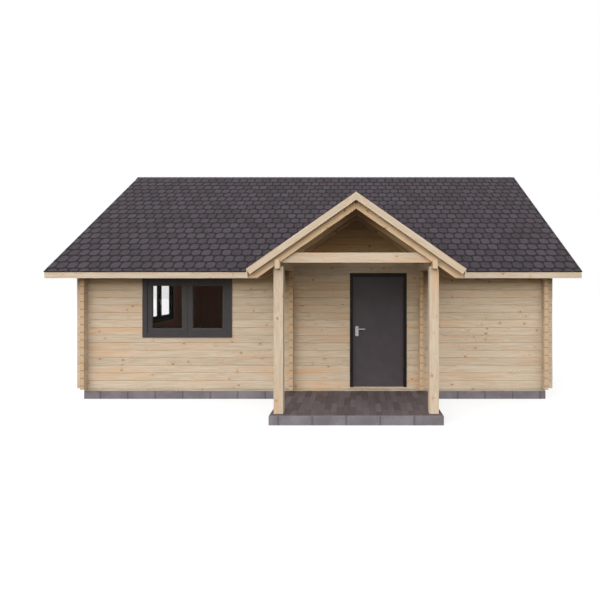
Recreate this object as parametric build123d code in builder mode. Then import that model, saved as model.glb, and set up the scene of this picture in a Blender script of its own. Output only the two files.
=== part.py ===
from build123d import *
from math import cos, floor, radians, sin, sqrt, tan
import os

# A one-storey log house with a gabled porch over its door, in millimetres.
# +X runs along the front, -Y is the front and +Z is up.
# The origin is the centre of the foundation slab's underside.

# Log walls
house_width = 8240
house_depth = 6100
log_thickness = 70
log_height = 135
log_courses = 16
log_end_projection = 125
log_groove = 8

# Base and floor
foundation_height = 140
bearer_height = 50
bearer_width = 70
floor_joist_spacing = 600
floor_board_thickness = 22
slab_edge_chamfer = 6

# Main roof
roof_pitch = 35
eave_overhang = 340
verge_overhang = 480
shingle_thickness = 10
shingle_overhang = 8
roof_board_thickness = 20
rafter_depth = 160
rafter_width = 45
rafter_notch = 67
rafter_bays = 10
ridge_beam_width = 70
ridge_beam_depth = 230
fascia_height = 112
fascia_thickness = 20
barge_depth = 95
barge_thickness = 20
ridge_cap_leg = 130
ridge_cap_thickness = 8
board_joint = 0.5

# Porch
porch_x = 740
porch_post_offset = 1150
porch_post_size = 140
porch_post_chamfer = 3
porch_post_slot = 34
porch_side_overhang = 450
porch_depth = 1424
porch_roof_overhang = 120
porch_slab_margin_side = 56
porch_slab_margin_front = 91
porch_rafter_pairs = 3
tie_beam_height = 148
tie_beam_thickness = 70
tie_beam_notch = 44
tie_beam_end = 90

# Door
door_frame_left = 627.5
door_frame_width = 1012.5
door_frame_height = 2036
door_jamb_width = 42
door_head_width = 52
door_stop_width = 12
door_frame_proud = 12
door_leaf_thickness = 45
door_gap = 5
door_floor_gap = 8
threshold_height = 22
threshold_proud = 20
hinge_radius = 8
hinge_sides = 12
hinge_height = 100
hinge_pin_radius = 4
hinge_pin_clearance = 0.3
hinge_offset = 9
hinge_flap_width = 35
hinge_flap_thickness = 3
hinge_count = 3

# Door handle
handle_inset = 77.5
handle_height = 1248
handle_plate_width = 57
handle_plate_height = 175
handle_plate_drop = 40.5
handle_plate_thickness = 8
handle_plate_corner = 10
handle_neck_length = 42
lever_length = 145
lever_height = 20
lever_thickness = 12
lever_chamfer = 3
neck_radius = 9
spindle_width = 8
spindle_hole_radius = 6
spindle_hole_sides = 8

# Windows
window_width = 1595
window_height = 1082
window_bottom = 1098
window_from_corner = 1845
casing_width = 82
casing_thickness = 15
casing_lap = 20
window_frame_width = 40
sash_gap = 3
sash_thickness = 55
sash_stile_width = 86
meeting_stile_width = 98
meeting_gap = 4
glass_thickness = 20
glass_rebate = 12
seat_gap = 0.3

# Levels and places worked out from the sizes above
rise = tan(radians(roof_pitch))
half_width = house_width / 2
half_depth = house_depth / 2
log_base = foundation_height + bearer_height
wall_top = log_base + log_courses * log_height
wall_centre_x = half_width - log_thickness / 2
wall_centre_y = half_depth - log_thickness / 2
inner_x = half_width - log_thickness
inner_y = half_depth - log_thickness
window_x = -half_width + window_from_corner
half_log = log_height / 2
roof_half_depth = half_depth + eave_overhang
roof_half_width = half_width + verge_overhang
board_depth = shingle_thickness
rafter_top_depth = board_depth + roof_board_thickness
roof_depth = rafter_top_depth + rafter_depth
eave_top = wall_top - rafter_notch + roof_depth / cos(radians(roof_pitch)) - eave_overhang * rise
fascia_top = eave_top - shingle_thickness / cos(radians(roof_pitch))
fascia_bottom = fascia_top - fascia_height
porch_half_width = porch_post_offset + porch_side_overhang
porch_post_front = -half_depth - porch_depth
porch_roof_front = porch_post_front - porch_roof_overhang
valley_end = -roof_half_depth + porch_half_width
gable_half_width = porch_half_width - eave_overhang
porch_plate_bottom = log_base + (log_courses - 1) * log_height - half_log + log_height
porch_plate_top = porch_plate_bottom + log_height
door_frame_right = door_frame_left + door_frame_width
door_sill = log_base + threshold_height
door_frame_top = door_sill + door_frame_height
far_below = -1000
far_above = 9000


def main_roof_z(y, depth):
    """Level of the main roof at y, at a depth square to the shingles' face."""
    return eave_top + (roof_half_depth - abs(y)) * rise - depth / cos(radians(roof_pitch))


def porch_roof_z(x, depth):
    """Level of the porch roof at x, at a depth square to the shingles' face."""
    return eave_top + (porch_half_width - abs(x - porch_x)) * rise - depth / cos(radians(roof_pitch))


def log_wall_section(section_plane, bottom, top, first_joint):
    """Section across a log wall: flat logs with a V-groove on both sides of each joint."""
    joint_count = floor((top - first_joint) / log_height) + 1
    joint_middle = first_joint + (joint_count - 1) * log_height / 2
    with BuildSketch(section_plane) as section:
        with Locations((0, (bottom + top) / 2)):
            Rectangle(log_thickness, top - bottom)
        with Locations((0, joint_middle)):
            with GridLocations(log_thickness, log_height, 2, joint_count):
                Rectangle(log_groove * sqrt(2), log_groove * sqrt(2), rotation=45, mode=Mode.SUBTRACT)
    return section.sketch


def planed_face(low, high):
    """Fills the grooves between two corners, where the logs are planed flat on the room side."""
    block(low, high, Mode.ADD)


def along_x(x, y):
    """Plane across a front or back wall that starts at x, with its centre line at y."""
    return Plane(origin=(x, y, 0), x_dir=(0, 1, 0), z_dir=(1, 0, 0))


def along_y(x, y):
    """Plane across a side wall that starts at y, with its centre line at x."""
    return Plane(origin=(x, y, 0), x_dir=(-1, 0, 0), z_dir=(0, 1, 0))


def notch_places(x, y, first_joint):
    """Centres of the notches where two log walls cross, one on each joint."""
    count = floor((main_roof_z(0, 0) - first_joint) / log_height) + 1
    return [(x, y, first_joint + course * log_height) for course in range(count)]


def block(low, high, mode):
    """Box between two corners, for housings and trims."""
    centre = [(a + b) / 2 for a, b in zip(low, high)]
    with Locations(tuple(centre)):
        Box(high[0] - low[0], high[1] - low[1], high[2] - low[2], mode=mode)


def main_slope(side, start_x, top_depth, bottom_depth, reach):
    """Section of one layer on a slope of the main roof, plumb cut at the ridge and at reach."""
    ridge_y = side * board_joint / 2
    eave_y = side * reach
    with BuildSketch(Plane.YZ.offset(start_x)) as section:
        with BuildLine():
            Polyline(
                (ridge_y, main_roof_z(ridge_y, top_depth)),
                (eave_y, main_roof_z(eave_y, top_depth)),
                (eave_y, main_roof_z(eave_y, bottom_depth)),
                (ridge_y, main_roof_z(ridge_y, bottom_depth)),
                close=True,
            )
        make_face()
    return section.sketch


def porch_slope(side, start_y, top_depth, bottom_depth, reach):
    """Section of one layer on a slope of the porch roof, plumb cut at the ridge and at reach."""
    ridge_x = porch_x + side * board_joint / 2
    eave_x = porch_x + side * reach
    with BuildSketch(Plane.XZ.offset(-start_y)) as section:
        with BuildLine():
            Polyline(
                (ridge_x, porch_roof_z(ridge_x, top_depth)),
                (eave_x, porch_roof_z(eave_x, top_depth)),
                (eave_x, porch_roof_z(eave_x, bottom_depth)),
                (ridge_x, porch_roof_z(ridge_x, bottom_depth)),
                close=True,
            )
        make_face()
    return section.sketch


# Volume under the main roof's boards, for trimming the walls
with BuildPart() as under_main_boards:
    with BuildSketch(Plane.YZ.offset(-roof_half_width)):
        with BuildLine():
            Polyline(
                (-roof_half_depth, far_below),
                (-roof_half_depth, main_roof_z(roof_half_depth, rafter_top_depth)),
                (0, main_roof_z(0, rafter_top_depth)),
                (roof_half_depth, main_roof_z(roof_half_depth, rafter_top_depth)),
                (roof_half_depth, far_below),
                close=True,
            )
        make_face()
    extrude(amount=2 * roof_half_width)

# Volume under the porch roof's boards, out to the valleys
with BuildPart() as under_porch_boards:
    with BuildSketch(Plane.XZ):
        with BuildLine():
            Polyline(
                (porch_x - porch_half_width, far_below),
                (porch_x - porch_half_width, porch_roof_z(porch_x - porch_half_width, rafter_top_depth)),
                (porch_x, porch_roof_z(porch_x, rafter_top_depth)),
                (porch_x + porch_half_width, porch_roof_z(porch_x + porch_half_width, rafter_top_depth)),
                (porch_x + porch_half_width, far_below),
                close=True,
            )
        make_face()
    extrude(amount=-porch_roof_front)

# Plan of the porch roof, with its point where the two valleys meet
with BuildPart() as porch_roof_plan:
    with BuildSketch(Plane.XY.offset(far_below)):
        with BuildLine():
            Polyline(
                (porch_x - porch_half_width, porch_roof_front),
                (porch_x + porch_half_width, porch_roof_front),
                (porch_x + porch_half_width, -roof_half_depth),
                (porch_x, valley_end),
                (porch_x - porch_half_width, -roof_half_depth),
                close=True,
            )
        make_face()
    extrude(amount=far_above)

# Volume under the main roof's boarding, on which the porch boards lie behind the front wall
with BuildPart() as main_boarding_bed:
    with BuildSketch(Plane.YZ.offset(-roof_half_width)):
        with BuildLine():
            Polyline(
                (-inner_y, far_below),
                (-inner_y, main_roof_z(inner_y, board_depth)),
                (0, main_roof_z(0, board_depth)),
                (0, far_below),
                close=True,
            )
        make_face()
    extrude(amount=2 * roof_half_width)

# Volume under the main roof's shingles, where the porch ridge runs into them
with BuildPart() as main_shingle_bed:
    with BuildSketch(Plane.YZ.offset(-roof_half_width)):
        with BuildLine():
            Polyline(
                (-roof_half_depth, far_below),
                (-roof_half_depth, main_roof_z(roof_half_depth, 0)),
                (0, main_roof_z(0, 0)),
                (0, far_below),
                close=True,
            )
        make_face()
    extrude(amount=2 * roof_half_width)

# Window places: one plane on the outer face of each wall, with its z axis pointing outwards
window_z = window_bottom + window_height / 2
window_planes = {
    "front": Plane(origin=(window_x, -half_depth, window_z), x_dir=(1, 0, 0), z_dir=(0, -1, 0)),
    "back": Plane(origin=(window_x, half_depth, window_z), x_dir=(-1, 0, 0), z_dir=(0, 1, 0)),
    "left": Plane(origin=(-half_width, 0, window_z), x_dir=(0, -1, 0), z_dir=(-1, 0, 0)),
    "right": Plane(origin=(half_width, 0, window_z), x_dir=(0, 1, 0), z_dir=(1, 0, 0)),
}
window_hole_width = window_width - 2 * casing_lap
window_hole_height = window_height - 2 * casing_lap

# Rafter places along the house: one over each bay line and one at each verge
bay = 2 * inner_x / rafter_bays
inner_rafters = [-inner_x + bay * (index + 1) for index in range(rafter_bays - 1)]
verge_rafter_x = roof_half_width - barge_thickness - rafter_width / 2
rafter_places = [-verge_rafter_x, *inner_rafters, verge_rafter_x]
porch_keeps_clear = porch_half_width + rafter_width
front_rafters = [x for x in rafter_places if abs(x - porch_x) > porch_keeps_clear]
short_rafters = [x for x in rafter_places if abs(x - porch_x) <= porch_keeps_clear]

# Crossing logs beside the door
cross_places = [porch_x - porch_post_offset, porch_x + porch_post_offset]


def window_hole(name):
    """Opening for a window through the wall's full thickness."""
    with BuildSketch(window_planes[name]) as outline:
        Rectangle(window_hole_width, window_hole_height)
    extrude(outline.sketch, amount=-log_thickness, mode=Mode.SUBTRACT)


def rafter_housings(places, side):
    """Slots in the wall's sloping top log, one for each rafter."""
    for x in places:
        if abs(x) < inner_x:
            outer = side * half_depth
            inner = side * inner_y
            low = (x - rafter_width / 2, min(outer, inner), wall_top)
            high = (x + rafter_width / 2, max(outer, inner), far_above)
            block(low, high, Mode.SUBTRACT)


os.makedirs("parts", exist_ok=True)

# Foundation slab
with BuildPart() as foundation_slab:
    with BuildSketch():
        Rectangle(house_width, house_depth)
    extrude(amount=foundation_height)
    chamfer(foundation_slab.edges().group_by(Axis.Z)[-1], slab_edge_chamfer)
foundation_slab.part.label = "foundation_slab"
export_step(foundation_slab.part, "parts/foundation_slab.step")

# Porch slab
porch_slab_half_width = porch_post_offset + porch_post_size / 2 + porch_slab_margin_side
porch_slab_front = porch_post_front - porch_slab_margin_front
with BuildPart() as porch_slab:
    with BuildSketch():
        with Locations((porch_x, (porch_slab_front - half_depth) / 2)):
            Rectangle(2 * porch_slab_half_width, -half_depth - porch_slab_front)
    extrude(amount=foundation_height)
    outer_edges = porch_slab.edges().group_by(Axis.Z)[-1].sort_by(Axis.Y)[:-1]
    chamfer(outer_edges, slab_edge_chamfer)
porch_slab.part.label = "porch_slab"
export_step(porch_slab.part, "parts/porch_slab.step")

# Base bearers: a frame under the walls with floor joists across it
joist_count = floor((house_width - 2 * bearer_width) / floor_joist_spacing)
with BuildPart() as base_bearers:
    with BuildSketch(Plane.XY.offset(foundation_height)):
        Rectangle(house_width, house_depth)
        Rectangle(house_width - 2 * bearer_width, house_depth - 2 * bearer_width, mode=Mode.SUBTRACT)
        with GridLocations(floor_joist_spacing, 1, joist_count, 1):
            Rectangle(bearer_width, house_depth - bearer_width)
    extrude(amount=bearer_height)
base_bearers.part.label = "base_bearers"
export_step(base_bearers.part, "parts/base_bearers.step")

# Floor boards, cut round the ends of the crossing logs
with BuildPart() as floor_boards:
    with BuildSketch(Plane.XY.offset(log_base)):
        Rectangle(2 * inner_x, 2 * inner_y)
        with Locations(*[(x, -inner_y) for x in cross_places]):
            Rectangle(log_thickness, 2 * log_end_projection, mode=Mode.SUBTRACT)
    extrude(amount=floor_board_thickness)
floor_boards.part.label = "floor_boards"
export_step(floor_boards.part, "parts/floor_boards.step")

# Front wall, left and right of the door
front_wall_ends = {
    "front_wall_left": (-half_width - log_end_projection, door_frame_left),
    "front_wall_right": (door_frame_right, half_width + log_end_projection),
}
for wall_name, (start_x, end_x) in front_wall_ends.items():
    with BuildPart() as front_wall:
        section = log_wall_section(
            along_x(start_x, -wall_centre_y), log_base, wall_top + log_height, log_base + log_height
        )
        extrude(section, amount=end_x - start_x)
        planed_face((start_x, -inner_y - log_groove, log_base), (end_x, -inner_y, wall_top + log_height))
        add(under_main_boards.part, mode=Mode.INTERSECT)
        low = (porch_x - gable_half_width, -half_depth, wall_top)
        high = (porch_x + gable_half_width, -inner_y, far_above)
        block(low, high, Mode.SUBTRACT)
        for x in (-wall_centre_x, wall_centre_x, *cross_places):
            with Locations(*notch_places(x, -wall_centre_y, log_base)):
                Box(log_thickness, log_thickness, half_log, mode=Mode.SUBTRACT)
        rafter_housings(front_rafters, -1)
        if wall_name == "front_wall_left":
            window_hole("front")
    front_wall.part.label = wall_name
    export_step(front_wall.part, f"parts/{wall_name}.step")

# Front gable: the logs over the door, up to the porch roof
gable_top = log_base + floor((porch_roof_z(porch_x, 0) - log_base) / log_height + 1) * log_height
with BuildPart() as front_gable:
    section = log_wall_section(
        along_x(porch_x - gable_half_width, -wall_centre_y), wall_top, gable_top, wall_top
    )
    extrude(section, amount=2 * gable_half_width)
    low = (porch_x - gable_half_width, -inner_y - log_groove, wall_top)
    high = (porch_x + gable_half_width, -inner_y, gable_top)
    planed_face(low, high)
    add(under_main_boards.part + under_porch_boards.part, mode=Mode.INTERSECT)
    lintel_section = log_wall_section(
        along_x(door_frame_left, -wall_centre_y), door_frame_top, wall_top, wall_top
    )
    extrude(lintel_section, amount=door_frame_width)
    for x in cross_places:
        with Locations((x, -wall_centre_y, wall_top)):
            Box(log_thickness, log_thickness, half_log, mode=Mode.SUBTRACT)
front_gable.part.label = "front_gable"
export_step(front_gable.part, "parts/front_gable.step")

# Back wall
with BuildPart() as back_wall:
    section = log_wall_section(
        along_x(-half_width - log_end_projection, wall_centre_y),
        log_base,
        wall_top + log_height,
        log_base + log_height,
    )
    extrude(section, amount=house_width + 2 * log_end_projection)
    low = (-half_width - log_end_projection, inner_y, log_base)
    high = (half_width + log_end_projection, inner_y + log_groove, wall_top + log_height)
    planed_face(low, high)
    add(under_main_boards.part, mode=Mode.INTERSECT)
    for x in (-wall_centre_x, wall_centre_x):
        with Locations(*notch_places(x, wall_centre_y, log_base)):
            Box(log_thickness, log_thickness, half_log, mode=Mode.SUBTRACT)
    rafter_housings(rafter_places, 1)
    window_hole("back")
back_wall.part.label = "back_wall"
export_step(back_wall.part, "parts/back_wall.step")

# Side walls, set half a log higher than the front, up to the ridge
side_wall_top = main_roof_z(0, 0)
ridge_beam_top = main_roof_z(0, rafter_top_depth)
ridge_beam_bottom = ridge_beam_top - ridge_beam_depth
for wall_name, side in (("left_wall", -1), ("right_wall", 1)):
    with BuildPart() as side_wall:
        section = log_wall_section(
            along_y(side * wall_centre_x, -half_depth - log_end_projection),
            log_base,
            side_wall_top,
            log_base + half_log,
        )
        extrude(section, amount=house_depth + 2 * log_end_projection)
        face_x = sorted((side * inner_x, side * (inner_x + log_groove)))
        planed_face((face_x[0], -inner_y, log_base), (face_x[1], inner_y, side_wall_top))
        add(under_main_boards.part, mode=Mode.INTERSECT)
        for y in (-wall_centre_y, wall_centre_y):
            with Locations(*notch_places(side * wall_centre_x, y, log_base + half_log)):
                Box(log_thickness, log_thickness, half_log, mode=Mode.SUBTRACT)
        low = (side * wall_centre_x - log_thickness, -ridge_beam_width / 2, ridge_beam_bottom)
        high = (side * wall_centre_x + log_thickness, ridge_beam_width / 2, far_above)
        block(low, high, Mode.SUBTRACT)
        window_hole(wall_name.split("_")[0])
    side_wall.part.label = wall_name
    export_step(side_wall.part, f"parts/{wall_name}.step")

# Ends of the crossing logs beside the door, under the porch plates
with BuildPart() as cross_log_ends:
    for x in cross_places:
        section = log_wall_section(
            along_y(x, -half_depth - log_end_projection), log_base, porch_plate_bottom, log_base + half_log
        )
        extrude(section, amount=log_thickness + 2 * log_end_projection)
        low = (x - log_thickness / 2, -inner_y, log_base)
        high = (x + log_thickness / 2, -inner_y + log_end_projection, porch_plate_bottom)
        planed_face(low, high)
        with Locations(*notch_places(x, -wall_centre_y, log_base + half_log)):
            Box(log_thickness, log_thickness, half_log, mode=Mode.SUBTRACT)
cross_log_ends.part.label = "cross_log_ends"
export_step(cross_log_ends.part, "parts/cross_log_ends.step")

# Porch plates: the top crossing logs, run out over the posts
plate_end = porch_roof_front + barge_thickness
tie_beam_bottom = porch_plate_top - tie_beam_notch
with BuildPart() as porch_plates:
    for x in cross_places:
        section = log_wall_section(
            along_y(x, plate_end), porch_plate_bottom, porch_plate_top, porch_plate_bottom
        )
        extrude(section, amount=-inner_y + log_end_projection - plate_end)
        with Locations(*notch_places(x, -wall_centre_y, porch_plate_bottom)):
            Box(log_thickness, log_thickness, half_log, mode=Mode.SUBTRACT)
        low = (x - log_thickness, porch_post_front, tie_beam_bottom)
        high = (x + log_thickness, porch_post_front + tie_beam_thickness, far_above)
        block(low, high, Mode.SUBTRACT)
porch_plates.part.label = "porch_plates"
export_step(porch_plates.part, "parts/porch_plates.step")

# Porch posts, slotted at the top for the plates
for post_name, x in zip(("porch_post_left", "porch_post_right"), cross_places):
    with BuildPart() as porch_post:
        with BuildSketch(Plane.XY.offset(foundation_height)):
            with Locations((x, porch_post_front + porch_post_size / 2)):
                Rectangle(porch_post_size, porch_post_size)
        extrude(amount=porch_plate_bottom + porch_post_slot - foundation_height)
        low = (x - log_thickness / 2, porch_post_front, porch_plate_bottom)
        high = (x + log_thickness / 2, porch_post_front + porch_post_size, far_above)
        block(low, high, Mode.SUBTRACT)
        chamfer(porch_post.edges().filter_by(Axis.Z).group_by(Axis.Z)[0], porch_post_chamfer)
    porch_post.part.label = post_name
    export_step(porch_post.part, f"parts/{post_name}.step")

# Porch tie beam, notched over the plates
tie_beam_reach = porch_post_offset + log_thickness / 2 + tie_beam_end
with BuildPart() as porch_tie_beam:
    low = (porch_x - tie_beam_reach, porch_post_front, tie_beam_bottom)
    high = (porch_x + tie_beam_reach, porch_post_front + tie_beam_thickness, tie_beam_bottom + tie_beam_height)
    block(low, high, Mode.ADD)
    add(under_porch_boards.part, mode=Mode.INTERSECT)
porch_tie_beam.part.label = "porch_tie_beam"
export_step(porch_tie_beam.part, "parts/porch_tie_beam.step")

# Ridge beam, through both side walls to the barge boards
with BuildPart() as ridge_beam:
    low = (-roof_half_width + barge_thickness, -ridge_beam_width / 2, ridge_beam_bottom)
    high = (roof_half_width - barge_thickness, ridge_beam_width / 2, far_above)
    block(low, high, Mode.ADD)
    add(under_main_boards.part, mode=Mode.INTERSECT)
ridge_beam.part.label = "ridge_beam"
export_step(ridge_beam.part, "parts/ridge_beam.step")

# Rafters, notched over the walls, with plumb and level cuts at the eave
for node_name, side, long_places, cut_short in (
    ("rafters_front", -1, front_rafters, short_rafters),
    ("rafters_back", 1, rafter_places, []),
):
    with BuildPart() as rafters:
        for x in [*long_places, *cut_short]:
            reach = inner_y if x in cut_short else roof_half_depth - fascia_thickness
            ridge_side = side * ridge_beam_width / 2
            tail = side * reach
            with BuildSketch(Plane.YZ.offset(x - rafter_width / 2)) as outline:
                with BuildLine():
                    Polyline(
                        (ridge_side, main_roof_z(ridge_side, rafter_top_depth)),
                        (tail, main_roof_z(tail, rafter_top_depth)),
                        (tail, main_roof_z(tail, roof_depth)),
                        (ridge_side, main_roof_z(ridge_side, roof_depth)),
                        close=True,
                    )
                make_face()
                with Locations((side * wall_centre_y, (far_below + wall_top) / 2)):
                    Rectangle(log_thickness, wall_top - far_below, mode=Mode.SUBTRACT)
                tail_middle = side * (half_depth + roof_half_depth) / 2
                with Locations((tail_middle, (far_below + fascia_bottom) / 2)):
                    Rectangle(eave_overhang, fascia_bottom - far_below, mode=Mode.SUBTRACT)
            extrude(outline.sketch, amount=rafter_width)
    rafters.part.label = node_name
    export_step(rafters.part, f"parts/{node_name}.step")

# Roof boards, the front ones cut away in front of the front wall under the porch roof
boards_end_x = roof_half_width - barge_thickness
boards_end_y = roof_half_depth - fascia_thickness
for node_name, side in (("roof_boards_front", -1), ("roof_boards_back", 1)):
    with BuildPart() as roof_boards:
        slope = main_slope(side, -boards_end_x, board_depth, rafter_top_depth, boards_end_y)
        extrude(slope, amount=2 * boards_end_x)
        if side < 0:
            valley_at_wall = porch_half_width - eave_overhang - log_thickness
            with BuildSketch(Plane.XY.offset(far_below)) as porch_cut:
                with BuildLine():
                    Polyline(
                        (porch_x - porch_half_width, -roof_half_depth),
                        (porch_x + porch_half_width, -roof_half_depth),
                        (porch_x + valley_at_wall, -inner_y),
                        (porch_x - valley_at_wall, -inner_y),
                        close=True,
                    )
                make_face()
            extrude(porch_cut.sketch, amount=far_above, mode=Mode.SUBTRACT)
    roof_boards.part.label = node_name
    export_step(roof_boards.part, f"parts/{node_name}.step")

# Shingle layers, the front one cut along the valleys
shingle_reach = roof_half_depth + shingle_overhang
for node_name, side in (("shingles_front", -1), ("shingles_back", 1)):
    with BuildPart() as shingles:
        slope = main_slope(side, -roof_half_width - shingle_overhang, 0, shingle_thickness, shingle_reach)
        extrude(slope, amount=2 * (roof_half_width + shingle_overhang))
        if side < 0:
            add(porch_roof_plan.part, mode=Mode.SUBTRACT)
            low = (porch_x - porch_half_width, -2 * roof_half_depth, far_below)
            high = (porch_x + porch_half_width, -roof_half_depth, far_above)
            block(low, high, Mode.SUBTRACT)
    shingles.part.label = node_name
    export_step(shingles.part, f"parts/{node_name}.step")

# Main ridge cap, folded over the ridge
cap_run = ridge_cap_leg * cos(radians(roof_pitch))
with BuildPart() as ridge_cap:
    with BuildSketch(Plane.YZ.offset(-roof_half_width - shingle_overhang)):
        with BuildLine():
            Polyline(
                (-cap_run, main_roof_z(cap_run, 0)),
                (-cap_run, main_roof_z(cap_run, -ridge_cap_thickness)),
                (0, main_roof_z(0, -ridge_cap_thickness)),
                (cap_run, main_roof_z(cap_run, -ridge_cap_thickness)),
                (cap_run, main_roof_z(cap_run, 0)),
                (0, main_roof_z(0, 0)),
                close=True,
            )
        make_face()
    extrude(amount=2 * (roof_half_width + shingle_overhang))
ridge_cap.part.label = "ridge_cap"
export_step(ridge_cap.part, "parts/ridge_cap.step")

# Eave fascias, the front one in two lengths beside the porch
fascia_plane = Plane.XY.offset(fascia_bottom)
fascia_y = roof_half_depth - fascia_thickness / 2
left_fascia_length = roof_half_width + porch_x - porch_half_width
right_fascia_length = roof_half_width - porch_x - porch_half_width
with BuildPart() as fascia_front:
    with BuildSketch(fascia_plane):
        with Locations((left_fascia_length / 2 - roof_half_width, -fascia_y)):
            Rectangle(left_fascia_length, fascia_thickness)
        with Locations((roof_half_width - right_fascia_length / 2, -fascia_y)):
            Rectangle(right_fascia_length, fascia_thickness)
    extrude(amount=fascia_height)
fascia_front.part.label = "fascia_front"
export_step(fascia_front.part, "parts/fascia_front.step")

with BuildPart() as fascia_back:
    with BuildSketch(fascia_plane):
        with Locations((0, fascia_y)):
            Rectangle(2 * roof_half_width, fascia_thickness)
    extrude(amount=fascia_height)
fascia_back.part.label = "fascia_back"
export_step(fascia_back.part, "parts/fascia_back.step")

# Barge boards on the main gables, under the edge of the shingles
barge_bottom_depth = board_depth + barge_depth
for node_name, start_x in (
    ("barge_boards_left", -roof_half_width),
    ("barge_boards_right", roof_half_width - barge_thickness),
):
    with BuildPart() as barge_boards:
        for side in (-1, 1):
            slope = main_slope(side, start_x, board_depth, barge_bottom_depth, boards_end_y)
            extrude(slope, amount=barge_thickness)
    barge_boards.part.label = node_name
    export_step(barge_boards.part, f"parts/{node_name}.step")

# Porch rafters in pairs, notched over the plates, with plumb and level cuts at the eave
first_pair_y = porch_post_front
last_pair_y = -roof_half_depth
pair_spacing = (last_pair_y - first_pair_y) / (porch_rafter_pairs - 1)
porch_tail = porch_half_width - fascia_thickness
with BuildPart() as porch_rafters:
    for pair in range(porch_rafter_pairs):
        for side in (-1, 1):
            ridge_x = porch_x + side * board_joint / 2
            tail = porch_x + side * porch_tail
            with BuildSketch(Plane.XZ.offset(-first_pair_y - pair * pair_spacing)) as outline:
                with BuildLine():
                    Polyline(
                        (ridge_x, porch_roof_z(ridge_x, rafter_top_depth)),
                        (tail, porch_roof_z(tail, rafter_top_depth)),
                        (tail, porch_roof_z(tail, roof_depth)),
                        (ridge_x, porch_roof_z(ridge_x, roof_depth)),
                        close=True,
                    )
                make_face()
                with Locations((porch_x + side * porch_post_offset, (far_below + porch_plate_top) / 2)):
                    Rectangle(log_thickness, porch_plate_top - far_below, mode=Mode.SUBTRACT)
                tail_middle = porch_x + side * (porch_half_width - porch_side_overhang / 2)
                with Locations((tail_middle, (far_below + fascia_bottom) / 2)):
                    Rectangle(porch_side_overhang, fascia_bottom - far_below, mode=Mode.SUBTRACT)
            extrude(outline.sketch, amount=rafter_width)
porch_rafters.part.label = "porch_rafters"
export_step(porch_rafters.part, "parts/porch_rafters.step")

# Porch roof boards, lying on the main roof's boards behind the front wall
porch_board_front = porch_roof_front + barge_thickness
with BuildPart() as porch_boards:
    for side in (-1, 1):
        slope = porch_slope(side, porch_board_front, board_depth, rafter_top_depth, porch_tail)
        extrude(slope, amount=porch_board_front)
    add(porch_roof_plan.part, mode=Mode.INTERSECT)
    add(main_boarding_bed.part, mode=Mode.SUBTRACT)
porch_boards.part.label = "porch_boards"
export_step(porch_boards.part, "parts/porch_boards.step")

# Porch shingle layer, one solid on each slope
with BuildPart() as porch_shingles:
    for side in (-1, 1):
        slope = porch_slope(side, porch_board_front, 0, shingle_thickness, porch_half_width)
        extrude(slope, amount=porch_board_front)
    add(porch_roof_plan.part, mode=Mode.INTERSECT)
porch_shingles.part.label = "porch_shingles"
export_step(porch_shingles.part, "parts/porch_shingles.step")

# Porch barge boards, flush with the shingles, with square-cut lower ends
with BuildPart() as porch_barge_boards:
    for side in (-1, 1):
        ridge_x = porch_x + side * board_joint / 2
        eave_x = porch_x + side * porch_half_width
        lower_x = eave_x - side * barge_depth * sin(radians(roof_pitch))
        with BuildSketch(Plane.XZ.offset(-porch_board_front)) as outline:
            with BuildLine():
                Polyline(
                    (ridge_x, porch_roof_z(ridge_x, 0)),
                    (eave_x, porch_roof_z(eave_x, 0)),
                    (lower_x, porch_roof_z(lower_x, barge_depth)),
                    (ridge_x, porch_roof_z(ridge_x, barge_depth)),
                    close=True,
                )
            make_face()
        extrude(outline.sketch, amount=barge_thickness)
porch_barge_boards.part.label = "porch_barge_boards"
export_step(porch_barge_boards.part, "parts/porch_barge_boards.step")

# Porch ridge cap, from the barge boards to the main slope
with BuildPart() as porch_ridge_cap:
    with BuildSketch(Plane.XZ.offset(-porch_board_front)) as outline:
        with BuildLine():
            Polyline(
                (porch_x - cap_run, porch_roof_z(porch_x - cap_run, 0)),
                (porch_x - cap_run, porch_roof_z(porch_x - cap_run, -ridge_cap_thickness)),
                (porch_x, porch_roof_z(porch_x, -ridge_cap_thickness)),
                (porch_x + cap_run, porch_roof_z(porch_x + cap_run, -ridge_cap_thickness)),
                (porch_x + cap_run, porch_roof_z(porch_x + cap_run, 0)),
                (porch_x, porch_roof_z(porch_x, 0)),
                close=True,
            )
        make_face()
    extrude(outline.sketch, amount=porch_board_front)
    add(main_shingle_bed.part, mode=Mode.SUBTRACT)
porch_ridge_cap.part.label = "porch_ridge_cap"
export_step(porch_ridge_cap.part, "parts/porch_ridge_cap.step")

# Porch fascias, from the barge boards to the main eave
porch_fascia_length = -roof_half_depth + fascia_thickness - porch_board_front
with BuildPart() as porch_fascias:
    with BuildSketch(fascia_plane):
        for side in (-1, 1):
            fascia_x = porch_x + side * (porch_half_width - fascia_thickness / 2)
            with Locations((fascia_x, porch_board_front + porch_fascia_length / 2)):
                Rectangle(fascia_thickness, porch_fascia_length)
    extrude(amount=fascia_height)
porch_fascias.part.label = "porch_fascias"
export_step(porch_fascias.part, "parts/porch_fascias.step")

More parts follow.
